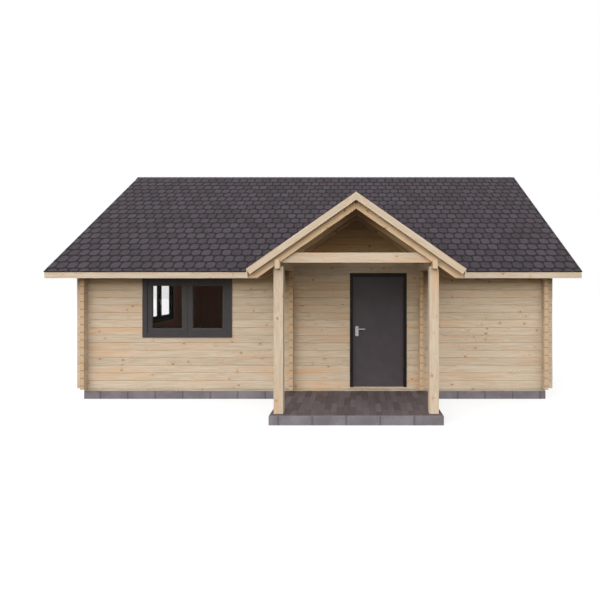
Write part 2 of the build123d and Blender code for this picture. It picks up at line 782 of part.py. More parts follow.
# Door frame: two jambs and a head in one piece, with a stop that the leaf closes against
frame_front = -half_depth - door_frame_proud
leaf_inner = -inner_y
leaf_outer = leaf_inner - door_leaf_thickness
stop_back = leaf_outer - door_gap
rebate_left = door_frame_left + door_jamb_width
rebate_right = door_frame_right - door_jamb_width
rebate_top = door_frame_top - door_head_width
with BuildPart() as door_frame:
    low = (door_frame_left, frame_front, door_sill)
    high = (door_frame_right, -inner_y, door_frame_top)
    block(low, high, Mode.ADD)
    low = (rebate_left + door_stop_width, frame_front, door_sill)
    high = (rebate_right - door_stop_width, stop_back, rebate_top - door_stop_width)
    block(low, high, Mode.SUBTRACT)
    block((rebate_left, stop_back, door_sill), (rebate_right, -inner_y, rebate_top), Mode.SUBTRACT)
door_frame.part.label = "door_frame"
export_step(door_frame.part, "parts/door_frame.step")

# Door threshold
with BuildPart() as door_threshold:
    low = (door_frame_left, -half_depth - threshold_proud, log_base)
    high = (door_frame_right, -inner_y, door_sill)
    block(low, high, Mode.ADD)
door_threshold.part.label = "door_threshold"
export_step(door_threshold.part, "parts/door_threshold.step")

# Door leaf, hung on the right and opening inwards
leaf_left = rebate_left + door_gap
leaf_right = rebate_right - door_gap
leaf_bottom = door_sill + door_floor_gap
leaf_top = rebate_top - door_gap
hinge_x = rebate_right - door_gap / 2
hinge_y = leaf_inner + hinge_offset
handle_x = leaf_left + handle_inset
handle_plate_z = handle_height - handle_plate_drop
hinge_levels = [
    leaf_bottom + (leaf_top - leaf_bottom) * (index + 1 / 2) / hinge_count for index in range(hinge_count)
]
with BuildPart() as door_leaf:
    block((leaf_left, leaf_outer, leaf_bottom), (leaf_right, leaf_inner, leaf_top), Mode.ADD)
    with BuildSketch(Plane.XZ.offset(-leaf_inner)):
        with Locations((handle_x, handle_height)):
            RegularPolygon(spindle_hole_radius, spindle_hole_sides, major_radius=False)
    extrude(amount=door_leaf_thickness, mode=Mode.SUBTRACT)
door_leaf.part.label = "door_leaf"
export_step(door_leaf.part, "parts/door_leaf.step")

# Hinge pins, each on a knuckle and a flap fixed to the frame
with BuildPart() as door_hinge_pins:
    for level in hinge_levels:
        with BuildSketch(Plane.XY.offset(level - hinge_height / 2)) as knuckle:
            with Locations((hinge_x, hinge_y)):
                RegularPolygon(hinge_radius, hinge_sides)
            with Locations((hinge_x + hinge_flap_width / 2, leaf_inner + hinge_flap_thickness / 2)):
                Rectangle(hinge_flap_width, hinge_flap_thickness)
        extrude(knuckle.sketch, amount=hinge_height / 2)
        with BuildSketch(Plane.XY.offset(level)) as pin:
            with Locations((hinge_x, hinge_y)):
                Circle(hinge_pin_radius)
        extrude(pin.sketch, amount=hinge_height / 2)
door_hinge_pins.part.label = "door_hinge_pins"
export_step(door_hinge_pins.part, "parts/door_hinge_pins.step")

# Hinge knuckles, each on a flap fixed to the leaf
with BuildPart() as door_hinge_knuckles:
    for level in hinge_levels:
        with BuildSketch(Plane.XY.offset(level + hinge_pin_clearance)) as knuckle:
            with Locations((hinge_x, hinge_y)):
                RegularPolygon(hinge_radius, hinge_sides)
            with Locations((hinge_x - hinge_flap_width / 2, leaf_inner + hinge_flap_thickness / 2)):
                Rectangle(hinge_flap_width, hinge_flap_thickness)
            with Locations((hinge_x, hinge_y)):
                Circle(hinge_pin_radius + hinge_pin_clearance, mode=Mode.SUBTRACT)
        extrude(knuckle.sketch, amount=hinge_height / 2 - hinge_pin_clearance)
door_hinge_knuckles.part.label = "door_hinge_knuckles"
export_step(door_hinge_knuckles.part, "parts/door_hinge_knuckles.step")

# Handle plates, one on each face of the leaf, with a hole for the spindle
with BuildPart() as door_handle_plates:
    for face_y in (leaf_outer, leaf_inner + handle_plate_thickness):
        with BuildSketch(Plane.XZ.offset(-face_y)) as outline:
            with Locations((handle_x, handle_plate_z)):
                plate = Rectangle(handle_plate_width, handle_plate_height)
                chamfer(plate.vertices(), handle_plate_corner)
            with Locations((handle_x, handle_height)):
                RegularPolygon(
                    spindle_hole_radius, spindle_hole_sides, major_radius=False, mode=Mode.SUBTRACT
                )
        extrude(outline.sketch, amount=handle_plate_thickness)
door_handle_plates.part.label = "door_handle_plates"
export_step(door_handle_plates.part, "parts/door_handle_plates.step")

# Lever handles inside and outside, joined by a square spindle through the leaf
outer_grip_y = leaf_outer - handle_plate_thickness - handle_neck_length
inner_grip_y = leaf_inner + handle_plate_thickness + handle_neck_length
with BuildPart() as door_lever:
    with BuildSketch(Plane.XZ.offset(-inner_grip_y)):
        with Locations((handle_x, handle_height)):
            Rectangle(spindle_width, spindle_width)
    extrude(amount=inner_grip_y - outer_grip_y)
    for grip_y, plate_y in (
        (outer_grip_y, leaf_outer - handle_plate_thickness - seat_gap),
        (inner_grip_y, leaf_inner + handle_plate_thickness + seat_gap),
    ):
        with BuildSketch(Plane.XZ.offset(-plate_y)) as neck:
            with Locations((handle_x, handle_height)):
                Circle(neck_radius)
        extrude(neck.sketch, amount=plate_y - grip_y)
        grip_start = handle_x - lever_height / 2
        with BuildSketch(Plane(origin=(grip_start, grip_y, handle_height), z_dir=(1, 0, 0))) as grip:
            bar = Rectangle(lever_height, lever_thickness)
            chamfer(bar.vertices(), lever_chamfer)
        extrude(grip.sketch, amount=lever_length + lever_height / 2)
door_lever.part.label = "door_lever"
export_step(door_lever.part, "parts/door_lever.step")

# Window frames: a frame in the log opening with a casing lapped over the logs outside
inner_width = window_hole_width - 2 * window_frame_width
inner_height = window_hole_height - 2 * window_frame_width
for wall, plane in window_planes.items():
    with BuildPart() as window_frame:
        with BuildSketch(plane) as casing:
            Rectangle(window_width, window_height)
            Rectangle(window_width - 2 * casing_width, window_height - 2 * casing_width, mode=Mode.SUBTRACT)
        extrude(casing.sketch, amount=casing_thickness)
        with BuildSketch(plane) as frame:
            Rectangle(window_hole_width, window_hole_height)
            Rectangle(inner_width, inner_height, mode=Mode.SUBTRACT)
        extrude(frame.sketch, amount=-log_thickness)
    window_frame.part.label = f"{wall}_window_frame"
    export_step(window_frame.part, f"parts/{wall}_window_frame.step")

# Window sashes and panes: two to each window, closed against the back of the casing
sash_height = inner_height - 2 * sash_gap
sash_width = (inner_width - 2 * sash_gap - meeting_gap) / 2
pane_opening_width = sash_width - sash_stile_width - meeting_stile_width
pane_opening_height = sash_height - 2 * sash_stile_width
sash_x = (sash_width + meeting_gap) / 2
pane_shift = (sash_stile_width - meeting_stile_width) / 2
glass_recess = seat_gap + (sash_thickness - glass_thickness) / 2
for node_name, is_glass in (("window_sashes", False), ("window_glass", True)):
    with BuildPart() as window_parts:
        for plane in window_planes.values():
            for side in (-1, 1):
                sash_centre = (side * sash_x, 0)
                pane_centre = (side * (sash_x + pane_shift), 0)
                glass_plane = plane.offset(-glass_recess)
                pane_width = pane_opening_width + 2 * glass_rebate
                pane_height = pane_opening_height + 2 * glass_rebate
                with BuildSketch(glass_plane) as pane:
                    with Locations(pane_centre):
                        Rectangle(pane_width, pane_height)
                if is_glass:
                    extrude(pane.sketch, amount=-glass_thickness)
                else:
                    with BuildSketch(plane.offset(-seat_gap)) as sash:
                        with Locations(sash_centre):
                            Rectangle(sash_width, sash_height)
                        with Locations(pane_centre):
                            Rectangle(pane_opening_width, pane_opening_height, mode=Mode.SUBTRACT)
                    extrude(sash.sketch, amount=-sash_thickness)
                    extrude(pane.sketch, amount=-glass_thickness, mode=Mode.SUBTRACT)
    window_parts.part.label = node_name
    export_step(window_parts.part, f"parts/{node_name}.step")
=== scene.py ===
"""Looks of the log house: finishes, shingles, boards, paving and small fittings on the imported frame."""
import logging
import math
import random
from dataclasses import dataclass, field
from enum import Enum
from typing import Callable, Iterable, Sequence

import bmesh
import bpy
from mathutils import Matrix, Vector


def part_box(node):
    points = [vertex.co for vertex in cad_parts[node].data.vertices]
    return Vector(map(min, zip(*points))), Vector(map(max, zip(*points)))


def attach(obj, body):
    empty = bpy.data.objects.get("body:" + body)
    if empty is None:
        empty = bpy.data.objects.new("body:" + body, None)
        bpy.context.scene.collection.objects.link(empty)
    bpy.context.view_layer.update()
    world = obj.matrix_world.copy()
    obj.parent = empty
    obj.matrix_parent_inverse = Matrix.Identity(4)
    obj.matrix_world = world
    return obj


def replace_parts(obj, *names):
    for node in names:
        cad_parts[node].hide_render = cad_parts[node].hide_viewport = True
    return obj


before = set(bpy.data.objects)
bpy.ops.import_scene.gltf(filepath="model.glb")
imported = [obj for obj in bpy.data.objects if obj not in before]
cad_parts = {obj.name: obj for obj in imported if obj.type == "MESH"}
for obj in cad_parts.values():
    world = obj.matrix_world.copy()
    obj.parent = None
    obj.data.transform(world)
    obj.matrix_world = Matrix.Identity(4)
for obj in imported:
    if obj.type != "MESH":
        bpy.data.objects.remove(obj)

LOG = logging.getLogger("log_house")

Colour = tuple[float, float, float]
Point = tuple[float, float]
Shape = list[Point]
Valleys = Callable[[Shape], list[Shape]]
Socket = bpy.types.NodeSocket
Sockets = dict[str, Socket]

HOUSE = "house"
DOOR = "door"

RIGHT = Vector((1.0, 0.0, 0.0))
BACK = Vector((0.0, 1.0, 0.0))
UP = Vector((0.0, 0.0, 1.0))

PITCH = math.radians(35.0)
PITCH_COS = math.cos(PITCH)
PITCH_SIN = math.sin(PITCH)
PITCH_TAN = math.tan(PITCH)
LOG_HEIGHT = 0.135
LOG_BASE = 0.190
PORCH_X = 0.740
PORCH_HALF_WIDTH = 1.600
ROOF_HALF_WIDTH = 4.608
SHINGLE_REACH = 3.398
VALLEY_APEX = 1.790
INNER_X = 4.051
INNER_Y = 2.981
LEAST_RADIUS = 0.0001
QUARTERS = ((1, 1), (-1, 1), (-1, -1), (1, -1))


class Kit:
    """Adds shader nodes to one tree and joins them."""

    def __init__(self, tree: bpy.types.NodeTree) -> None:
        """Keeps the tree that the nodes go into."""
        self.tree = tree

    def add(self, kind: str, inputs: dict | None = None, **settings: object) -> bpy.types.Node:
        """Adds one node.

        Args:
            kind: the node's type name without its ShaderNode prefix.
            inputs: values or sockets for its inputs, by name or place.
            settings: the node's own properties.

        Returns:
            The new node.
        """
        node = self.tree.nodes.new("ShaderNode" + kind)
        for name, value in settings.items():
            setattr(node, name, value)
        for name, value in (inputs or {}).items():
            self.feed(node, name, value)
        return node

    def feed(self, node: bpy.types.Node, name: str | int, value: object) -> None:
        """Joins a socket to an input, or sets the input's own value.

        Args:
            node: the node that has the input.
            name: the input's name or place.
            value: a socket or a plain value.
        """
        target = node.inputs[name]
        if isinstance(value, bpy.types.NodeSocket):
            self.tree.links.new(value, target)
        elif target.type == "RGBA":
            target.default_value = (*value, 1.0)
        else:
            target.default_value = value

    def math(self, operation: str, *values: object) -> Socket:
        """One sum on numbers that change over the surface."""
        return self.add("Math", dict(enumerate(values)), operation=operation).outputs[0]

    def times(self, first: object, second: object) -> Socket:
        """Product of two numbers."""
        return self.math("MULTIPLY", first, second)

    def plus(self, first: object, second: object) -> Socket:
        """Sum of two numbers."""
        return self.math("ADD", first, second)

    def less(self, first: object, second: object) -> Socket:
        """The first number less the second."""
        return self.math("SUBTRACT", first, second)

    def line(self, value: object, factor: float, start: object) -> Socket:
        """The value times a factor, plus a start."""
        return self.math("MULTIPLY_ADD", value, factor, start)

    def vector_math(self, operation: str, *values: object) -> Socket:
        """One sum on vectors."""
        return self.add("VectorMath", dict(enumerate(values)), operation=operation).outputs[0]

    def blend(self, share: object, first: object, second: object, way: str = "MIX") -> Socket:
        """Mixes two colours by the second colour's share, in one of the mix node's ways."""
        node = self.add("Mix", {0: share, 6: first, 7: second}, data_type="RGBA", blend_type=way)
        return node.outputs[2]

    def stain(self, colour: Socket, mask: Socket, strength: float, stain: Colour) -> Socket:
        """Lays a stain of a given strength on a colour where the mask is."""
        return self.blend(self.times(mask, strength), colour, stain)

    def shade(self, colour: Socket, tone: Socket) -> Socket:
        """Multiplies a colour by a tone."""
        return self.blend(1.0, colour, self.combine(tone, tone, tone), "MULTIPLY")

    def mask(self, value: object, low: object, high: object, soft: bool = True) -> Socket:
        """Maps a value from low to high onto 0 to 1, smoothly or in a straight line."""
        way = "SMOOTHSTEP" if soft else "LINEAR"
        return self.add("MapRange", {0: value, 1: low, 2: high}, interpolation_type=way, clamp=True).outputs[0]

    def spread(self, value: object, low: float, high: float) -> Socket:
        """Maps a value from 0 to 1 onto low to high."""
        return self.add("MapRange", {0: value, 3: low, 4: high}, clamp=True).outputs[0]

    def noise(self, place: Socket, scale: float, detail: float = 3.0, roughness: float = 0.5) -> Socket:
        """A cloud noise from 0 to 1."""
        inputs = {"Vector": place, "Scale": scale, "Detail": detail, "Roughness": roughness}
        return self.add("TexNoise", inputs).outputs[0]

    def drawn_noise(self, place: Socket, scale: Sequence[float], detail: float, roughness: float = 0.5) -> Socket:
        """A cloud noise drawn out by a different scale on each axis."""
        return self.noise(self.stretch(place, scale), 1.0, detail, roughness)

    def stretch(self, place: Socket, scale: Sequence[float]) -> Socket:
        """Scales a place by a different amount on each axis."""
        return self.vector_math("MULTIPLY", place, tuple(scale))

    def dots(self, place: Socket, scale: float) -> Socket:
        """Distance to the nearest of a set of scattered points."""
        return self.add("TexVoronoi", {"Vector": place, "Scale": scale}).outputs["Distance"]

    def chance(self, number: Socket) -> Socket:
        """A random number from 0 to 1 for each whole number."""
        return self.add("TexWhiteNoise", {"W": number}, noise_dimensions="1D").outputs["Value"]

    def combine(self, x: object, y: object, z: object) -> Socket:
        """Makes a vector from three numbers."""
        return self.add("CombineXYZ", {0: x, 1: y, 2: z}).outputs[0]

    def split(self, place: Socket) -> list[Socket]:
        """The three numbers of a vector."""
        return list(self.add("SeparateXYZ", {0: place}).outputs)

    def facing(self) -> list[Socket]:
        """The three numbers of the face's normal."""
        return self.split(self.add("NewGeometry").outputs["Normal"])

    def tab_tone(self) -> Socket:
        """The tone that the mesh keeps on each tab or paver."""
        return self.add("Attribute", attribute_name="tab_tone").outputs["Fac"]

    def bump(self, height: Socket, strength: float, distance: float) -> Socket:
        """A normal bent by a height, where one unit of height is the distance in metres."""
        inputs = {"Height": height, "Strength": strength, "Distance": distance}
        return self.add("Bump", inputs).outputs["Normal"]

    def background_rays(self) -> Socket:
        """A mask of the rays that see the white background: from the camera, through glass, off metal."""
        path = self.add("LightPath").outputs
        seen = self.math("MAXIMUM", path["Is Camera Ray"], path["Is Transmission Ray"])
        return self.math("MAXIMUM", seen, path["Is Glossy Ray"])


@dataclass
class Effect:
    """A shader node group with named inputs and outputs, built once and shared by the finishes.

    Args:
        name: the group's name.
        inputs: names of its inputs; Place is a vector and the rest are numbers.
        outputs: names of its outputs, all numbers.
        build: adds the nodes and returns a socket for each output.
    """

    name: str
    inputs: list[str]
    outputs: list[str]
    build: Callable[[Kit, Sockets], Sockets]
    tree: bpy.types.NodeTree | None = None

    def made(self) -> bpy.types.NodeTree:
        """Builds the group the first time it is asked for.

        Returns:
            The node group.
        """
        if self.tree is None:
            self.tree = tree = bpy.data.node_groups.new(self.name, "ShaderNodeTree")
            for name in self.inputs:
                kind = "NodeSocketVector" if name == "Place" else "NodeSocketFloat"
                tree.interface.new_socket(name=name, in_out="INPUT", socket_type=kind)
            for name in self.outputs:
                tree.interface.new_socket(name=name, in_out="OUTPUT", socket_type="NodeSocketFloat")
            entry, leave = tree.nodes.new("NodeGroupInput"), tree.nodes.new("NodeGroupOutput")
            sockets = self.build(Kit(tree), {name: entry.outputs[name] for name in self.inputs})
            for name, socket in sockets.items():
                tree.links.new(socket, leave.inputs[name])
        return self.tree

    def use(self, kit: Kit, **values: object) -> Sockets:
        """Places the group in a material.

        Args:
            kit: the material's kit.
            values: values or sockets for its inputs.

        Returns:
            The group's outputs by name.
        """
        node = kit.add("Group")
        node.node_tree = self.made()
        for name, value in values.items():
            kit.feed(node, name, value)
        return {socket.name: socket for socket in node.outputs}


def effect(name: str, inputs: str, outputs: str) -> Callable[[Callable[[Kit, Sockets], Sockets]], Effect]:
    """Makes an effect of the function under it, which gets the group's kit and input sockets."""
    return lambda build: Effect(name, inputs.split(), outputs.split(), build)


@effect("pine grain", "Place Board", "Grain Streak Knot Halo Height")
def wood_grain(kit: Kit, given: Sockets) -> Sockets:
    """Pine grain, warm streaks and knots, with the grain along the place's first axis."""
    board = given["Board"]
    place = kit.vector_math(
        "ADD", given["Place"], kit.combine(kit.times(board, 37.0), kit.times(board, 11.0), kit.times(board, 5.0))
    )
    knot_gap = kit.dots(kit.stretch(place, (0.75, 1.0, 1.0)), 6.5)
    knot = kit.mask(knot_gap, 0.17, 0.06)
    heart = kit.mask(knot_gap, 0.09, 0.03)
    halo = kit.mask(knot_gap, 0.45, 0.12)
    bent = kit.vector_math("ADD", place, kit.combine(0.0, kit.times(halo, 0.02), kit.times(halo, 0.03)))
    fibre = kit.drawn_noise(bent, (2.0, 85.0, 85.0), 5.0, 0.6)
    growth = kit.drawn_noise(bent, (0.45, 9.0, 9.0), 2.0)
    rings = kit.line(kit.math("SINE", kit.times(growth, 60.0)), 0.5, 0.5)
    clouds = kit.drawn_noise(place, (1.3, 5.0, 5.0), 3.0)
    grain = kit.line(clouds, 0.35, kit.line(fibre, 0.45, kit.times(rings, 0.20)))
    streak = kit.mask(kit.drawn_noise(place, (0.6, 5.5, 5.5), 3.0, 0.55), 0.50, 0.72)
    pins = kit.mask(kit.dots(place, 21.0), 0.09, 0.05)
    knots = kit.math("MAXIMUM", kit.line(heart, 0.35, kit.times(knot, 0.65)), kit.times(pins, 0.25))
    height = kit.less(grain, kit.times(knots, 0.6))
    return {"Grain": grain, "Streak": streak, "Knot": knots, "Halo": halo, "Height": height}


@effect("board courses", "Across Pitch Width", "Number Joint")
def board_courses(kit: Kit, given: Sockets) -> Sockets:
    """A random number for each log or board in a stack, and the shade in the joints between them."""
    count = kit.math("DIVIDE", given["Across"], given["Pitch"])
    whole = kit.math("FLOOR", count)
    part = kit.less(count, whole)
    near = kit.math("MINIMUM", part, kit.less(1.0, part))
    joint = kit.mask(kit.times(near, given["Pitch"]), given["Width"], kit.times(given["Width"], 0.3))
    return {"Number": kit.chance(kit.plus(whole, 0.37)), "Joint": joint}


@effect("end rings", "Place", "Rings")
def end_rings(kit: Kit, given: Sockets) -> Sockets:
    """Growth rings on a sawn end, one heart for each log."""
    reach = kit.vector_math("LENGTH", given["Place"]).node.outputs["Value"]
    wobble = kit.times(kit.noise(given["Place"], 22.0, 2.0), 0.02)
    rings = kit.math("SINE", kit.times(kit.plus(reach, wobble), 1500.0))
    return {"Rings": kit.line(rings, 0.5, 0.5)}


@effect("concrete mottle", "Place", "Tone Pores Height")
def rough_mottle(kit: Kit, given: Sockets) -> Sockets:
    """Cloudy tone, pores and fine roughness of cast concrete."""
    clouds = kit.noise(given["Place"], 2.6, 5.0, 0.62)
    grit = kit.noise(given["Place"], 95.0, 4.0, 0.7)
    pores = kit.mask(kit.dots(given["Place"], 58.0), 0.22, 0.10)
    return {"Tone": kit.line(clouds, 0.62, kit.times(grit, 0.38)), "Pores": pores, "Height": kit.less(grit, pores)}


@effect("mineral granules", "Place", "Tone Height")
def mineral_granules(kit: Kit, given: Sockets) -> Sockets:
    """The small stone granules pressed into bitumen."""
    cells = kit.add("TexVoronoi", {"Vector": given["Place"], "Scale": 260.0})
    speck = kit.split(cells.outputs["Color"])[0]
    patches = kit.noise(given["Place"], 7.0, 4.0, 0.6)
    streaks = kit.noise(given["Place"], 34.0, 3.0, 0.6)
    tone = kit.line(streaks, 0.3, kit.line(speck, 0.4, kit.times(patches, 0.3)))
    return {"Tone": tone, "Height": kit.less(1.0, cells.outputs["Distance"])}


@effect("settled dust", "Place", "Dust")
def settled_dust(kit: Kit, given: Sockets) -> Sockets:
    """Dust and splash near the ground, broken up by noise."""
    low = kit.mask(kit.split(given["Place"])[2], 0.75, 0.15, soft=False)
    return {"Dust": kit.times(low, kit.mask(kit.noise(given["Place"], 3.2, 5.0, 0.65), 0.35, 0.75))}


@effect("coating film", "Place", "Clouds Marks Height")
def coating_film(kit: Kit, given: Sockets) -> Sockets:
    """Slight cloudiness and orange peel of a factory coating."""
    clouds = kit.noise(given["Place"], 3.5, 4.0, 0.55)
    marks = kit.mask(kit.drawn_noise(given["Place"], (22.0, 22.0, 3.0), 5.0, 0.7), 0.60, 0.78)
    return {"Clouds": clouds, "Marks": marks, "Height": kit.noise(given["Place"], 420.0, 2.0)}


class GrainWay(Enum):
    """Which way the grain runs in a timber."""

    ALONG_X = "along x"
    ALONG_Y = "along y"
    ALONG_Z = "along z"
    MAIN_SLOPE = "up the main slope"
    PORCH_SLOPE = "up the porch slope"

    def place(self, kit: Kit, position: Socket) -> Socket:
        """Turns a position so that its first axis runs with the grain.

        Args:
            kit: the material's kit.
            position: the position in the house's frame.

        Returns:
            The turned position.
        """
        x, y, z = kit.split(position)
        if self is GrainWay.MAIN_SLOPE:
            run, width = kit.math("ABSOLUTE", y), x
        elif self is GrainWay.PORCH_SLOPE:
            run, width = kit.math("ABSOLUTE", kit.less(x, PORCH_X)), y
        else:
            turned = {GrainWay.ALONG_X: (x, y, z), GrainWay.ALONG_Y: (y, x, z), GrainWay.ALONG_Z: (z, x, y)}
            return kit.combine(*turned[self])
        along = kit.less(kit.times(run, PITCH_COS), kit.times(z, PITCH_SIN))
        square = kit.plus(kit.times(run, PITCH_SIN), kit.times(z, PITCH_COS))
        return kit.combine(along, width, square)

    def end_axis(self) -> int | None:
        """The axis that a sawn end faces, where it is one of the frame's own."""
        return {GrainWay.ALONG_X: 0, GrainWay.ALONG_Y: 1, GrainWay.ALONG_Z: 2}.get(self)


class Surface:
    """A material while its nodes are being added."""

    def __init__(self, name: str) -> None:
        """Starts the material with its main shader and the position in the house's frame."""
        self.material = bpy.data.materials.new(name)
        self.material.use_nodes = True
        tree = self.material.node_tree
        self.kit = Kit(tree)
        self.shader = next(node for node in tree.nodes if node.type == "BSDF_PRINCIPLED")
        self.position = self.kit.add("TexCoord").outputs["Object"]

    def finish(self, colour: Socket, rough: Socket, normal: Socket, **plain: float) -> bpy.types.Material:
        """Feeds the main shader.

        Args:
            colour: the base colour.
            rough: the roughness.
            normal: the bent normal.
            plain: plain values, by the shader's input names with low lines for spaces.

        Returns:
            The material.
        """
        for name, value in (("Base Color", colour), ("Roughness", rough), ("Normal", normal)):
            self.kit.feed(self.shader, name, value)
        for name, value in plain.items():
            self.shader.inputs[name.replace("_", " ")].default_value = value
        return self.material


def scaled(colour: Colour, factor: float) -> Colour:
    """A colour made lighter or darker, up to white."""
    return tuple(min(1.0, part * factor) for part in colour)


@dataclass(frozen=True)
class Timber:
    """Pine, planed or sawn, with the grain one way.

    Args:
        name: the material's name.
        way: the way the grain runs.
        pale: colour of the early wood.
        deep: colour of the late wood.
        warm: colour of the warm streaks.
        knot: colour of the knots.
        end_pale: paler colour of a sawn end.
        end_deep: darker colour of a sawn end.
        indoor: colour of the wood inside the room.
        shade_tint: the painted shade tint, warmer and more saturated, that multiplies the wood above
            shade_tint_level.
        groove: colour in the joints.
        end_groove: colour in the joints on a sawn end.
        dust: colour of the splashed dust.
        course: height of one log or board, 0 where the piece is one timber.
        first: level of the first joint.
        across: place in the turned position that crosses the courses.
        groove_width: half the width of the shade in a joint.
        spread: how far the tone differs from board to board.
        gloss: roughness of the planed face.
        shade_tint_level: level above which the wood, in the porch roof's shade, gets the painted shade tint, 0 where
            there is none.
    """

    name: str
    way: GrainWay
    pale: Colour = (0.558, 0.478, 0.390)
    deep: Colour = (0.470, 0.386, 0.292)
    warm: Colour = (0.560, 0.362, 0.218)
    knot: Colour = (0.185, 0.105, 0.052)
    end_pale: Colour = (0.545, 0.415, 0.285)
    end_deep: Colour = (0.450, 0.318, 0.198)
    indoor: Colour = (0.62, 0.30, 0.12)
    shade_tint: Colour = (1.22, 1.10, 0.89)
    # groove: colour of the dust and painted shade in the joints. end_groove: colour of the dust and painted shade in
    # the joints on a sawn end.
    groove: Colour = (0.26, 0.17, 0.09)
    end_groove: Colour = (0.16, 0.09, 0.04)
    dust: Colour = (0.28, 0.25, 0.21)
    course: float = 0.0
    first: float = 0.0
    across: int = 2
    groove_width: float = 0.011
    spread: float = 0.07
    gloss: float = 0.66
    shade_tint_level: float = 0.0

    def make(self) -> bpy.types.Material:
        """Builds the material."""
        surface = Surface(self.name)
        kit, position = surface.kit, surface.position
        place = self.way.place(kit, position)
        parts = kit.split(place)
        if self.course:
            across = kit.less(parts[self.across], self.first)
            courses = board_courses.use(kit, Across=across, Pitch=self.course, Width=self.groove_width)
            number, joint = courses["Number"], courses["Joint"]
        else:
            number = kit.chance(kit.math("ROUND", kit.times(parts[1], 1.4)))
            joint = None
        grain = wood_grain.use(kit, Place=place, Board=number)
        colour = kit.blend(kit.mask(grain["Grain"], 0.32, 0.68), self.pale, self.deep)
        colour = kit.stain(colour, grain["Streak"], 0.72, self.warm)
        colour = kit.stain(colour, grain["Halo"], 0.28, self.warm)
        colour = kit.stain(colour, grain["Knot"], 0.72, self.knot)
        colour = kit.shade(colour, kit.spread(number, 1.0 - self.spread, 1.0 + self.spread * 0.7))
        # Painted shade: above this level, under the porch roof, the porch gable logs are tinted warmer and more
        # saturated, as they look in shade.
        if self.shade_tint_level:
            high = kit.mask(kit.split(position)[2], self.shade_tint_level - 0.12, self.shade_tint_level + 0.12)
            colour = kit.blend(high, colour, kit.blend(1.0, colour, self.shade_tint, "MULTIPLY"))
        if joint is not None:
            # Dust and painted shade in the V-joints between the logs.
            colour = kit.stain(colour, joint, 0.08, self.groove)
        colour = self.add_ends(kit, colour, position, joint)
        colour = kit.stain(colour, self.indoors(kit, position), 0.82, self.indoor)
        colour = kit.stain(colour, settled_dust.use(kit, Place=position)["Dust"], 0.16, self.dust)
        rough = kit.less(kit.line(grain["Grain"], 0.14, self.gloss), kit.times(grain["Knot"], 0.15))
        return surface.finish(colour, rough, kit.bump(grain["Height"], 0.35, 0.0012), Specular_IOR_Level=0.15)

    @staticmethod
    def indoors(kit: Kit, position: Socket) -> Socket:
        """A mask of the faces inside the room, where the pine has turned brown."""
        x, y, _ = kit.split(position)
        across = kit.math("LESS_THAN", kit.math("ABSOLUTE", x), INNER_X)
        return kit.times(across, kit.math("LESS_THAN", kit.math("ABSOLUTE", y), INNER_Y))

    def add_ends(self, kit: Kit, colour: Socket, position: Socket, joint: Socket | None) -> Socket:
        """Darker ringed wood where the face is a sawn end.

        Args:
            kit: the material's kit.
            colour: the colour of the long faces.
            position: the position in the house's frame.
            joint: the mask of the joints between logs, or None where there are none.

        Returns:
            The colour with its ends.
        """
        axis = self.way.end_axis()
        if axis is None:
            return colour
        end = kit.mask(kit.math("ABSOLUTE", kit.facing()[axis]), 0.75, 0.95)
        parts = kit.split(position)
        if axis == 2:
            heart = kit.combine(kit.math("PINGPONG", parts[0], 0.07), kit.math("PINGPONG", parts[1], 0.07), 0.0)
        else:
            rise = kit.math("PINGPONG", kit.less(parts[2], self.first), LOG_HEIGHT / 2)
            heart = kit.combine(kit.math("PINGPONG", parts[1 - axis], 0.06), rise, 0.0)
        ends = kit.blend(end_rings.use(kit, Place=heart)["Rings"], self.end_pale, self.end_deep)
        if joint is not None:
            # Dust and painted shade in the joints between the stacked log ends.
            ends = kit.stain(ends, joint, 0.70, self.end_groove)
        return kit.blend(end, colour, ends)


@dataclass(frozen=True)
class Concrete:
    """Cast concrete, with faint upright seams on its faces.

    Args:
        name: the material's name.
        pale: the lighter colour.
        deep: the darker colour.
        groove: colour in the seams.
        hole: colour of the painted shade in the pores.
        top: colour of the upper faces.
        seam: distance between the seams.
        shift: place of the first seam.
    """

    name: str
    pale: Colour = (0.208, 0.196, 0.221)
    deep: Colour = (0.140, 0.129, 0.151)
    groove: Colour = (0.070, 0.064, 0.076)
    hole: Colour = (0.07, 0.065, 0.07)
    top: Colour = (0.128, 0.110, 0.106)
    seam: float = 0.491
    shift: float = 0.394

    def make(self) -> bpy.types.Material:
        """Builds the material."""
        surface = Surface(self.name)
        kit, position = surface.kit, surface.position
        mottle = rough_mottle.use(kit, Place=position)
        colour = kit.blend(kit.mask(mottle["Tone"], 0.38, 0.62), self.deep, self.pale)
        facing, parts = kit.facing(), kit.split(position)
        sideways = kit.mask(kit.math("ABSOLUTE", facing[0]), 0.4, 0.6)
        run = kit.add("Mix", {0: sideways, 2: parts[0], 3: parts[1]}, data_type="FLOAT").outputs[0]
        courses = board_courses.use(kit, Across=kit.plus(run, self.shift), Pitch=self.seam, Width=0.022)
        colour = kit.stain(colour, courses["Joint"], 0.60, self.groove)
        colour = kit.shade(colour, kit.spread(courses["Number"], 0.93, 1.06))
        # Painted shade in the pores.
        colour = kit.stain(colour, mottle["Pores"], 0.35, self.hole)
        colour = kit.blend(kit.mask(facing[2], 0.5, 0.9), colour, self.top)
        rough = kit.line(mottle["Tone"], 0.12, 0.82)
        return surface.finish(colour, rough, kit.bump(mottle["Height"], 0.5, 0.0015), Specular_IOR_Level=0.25)


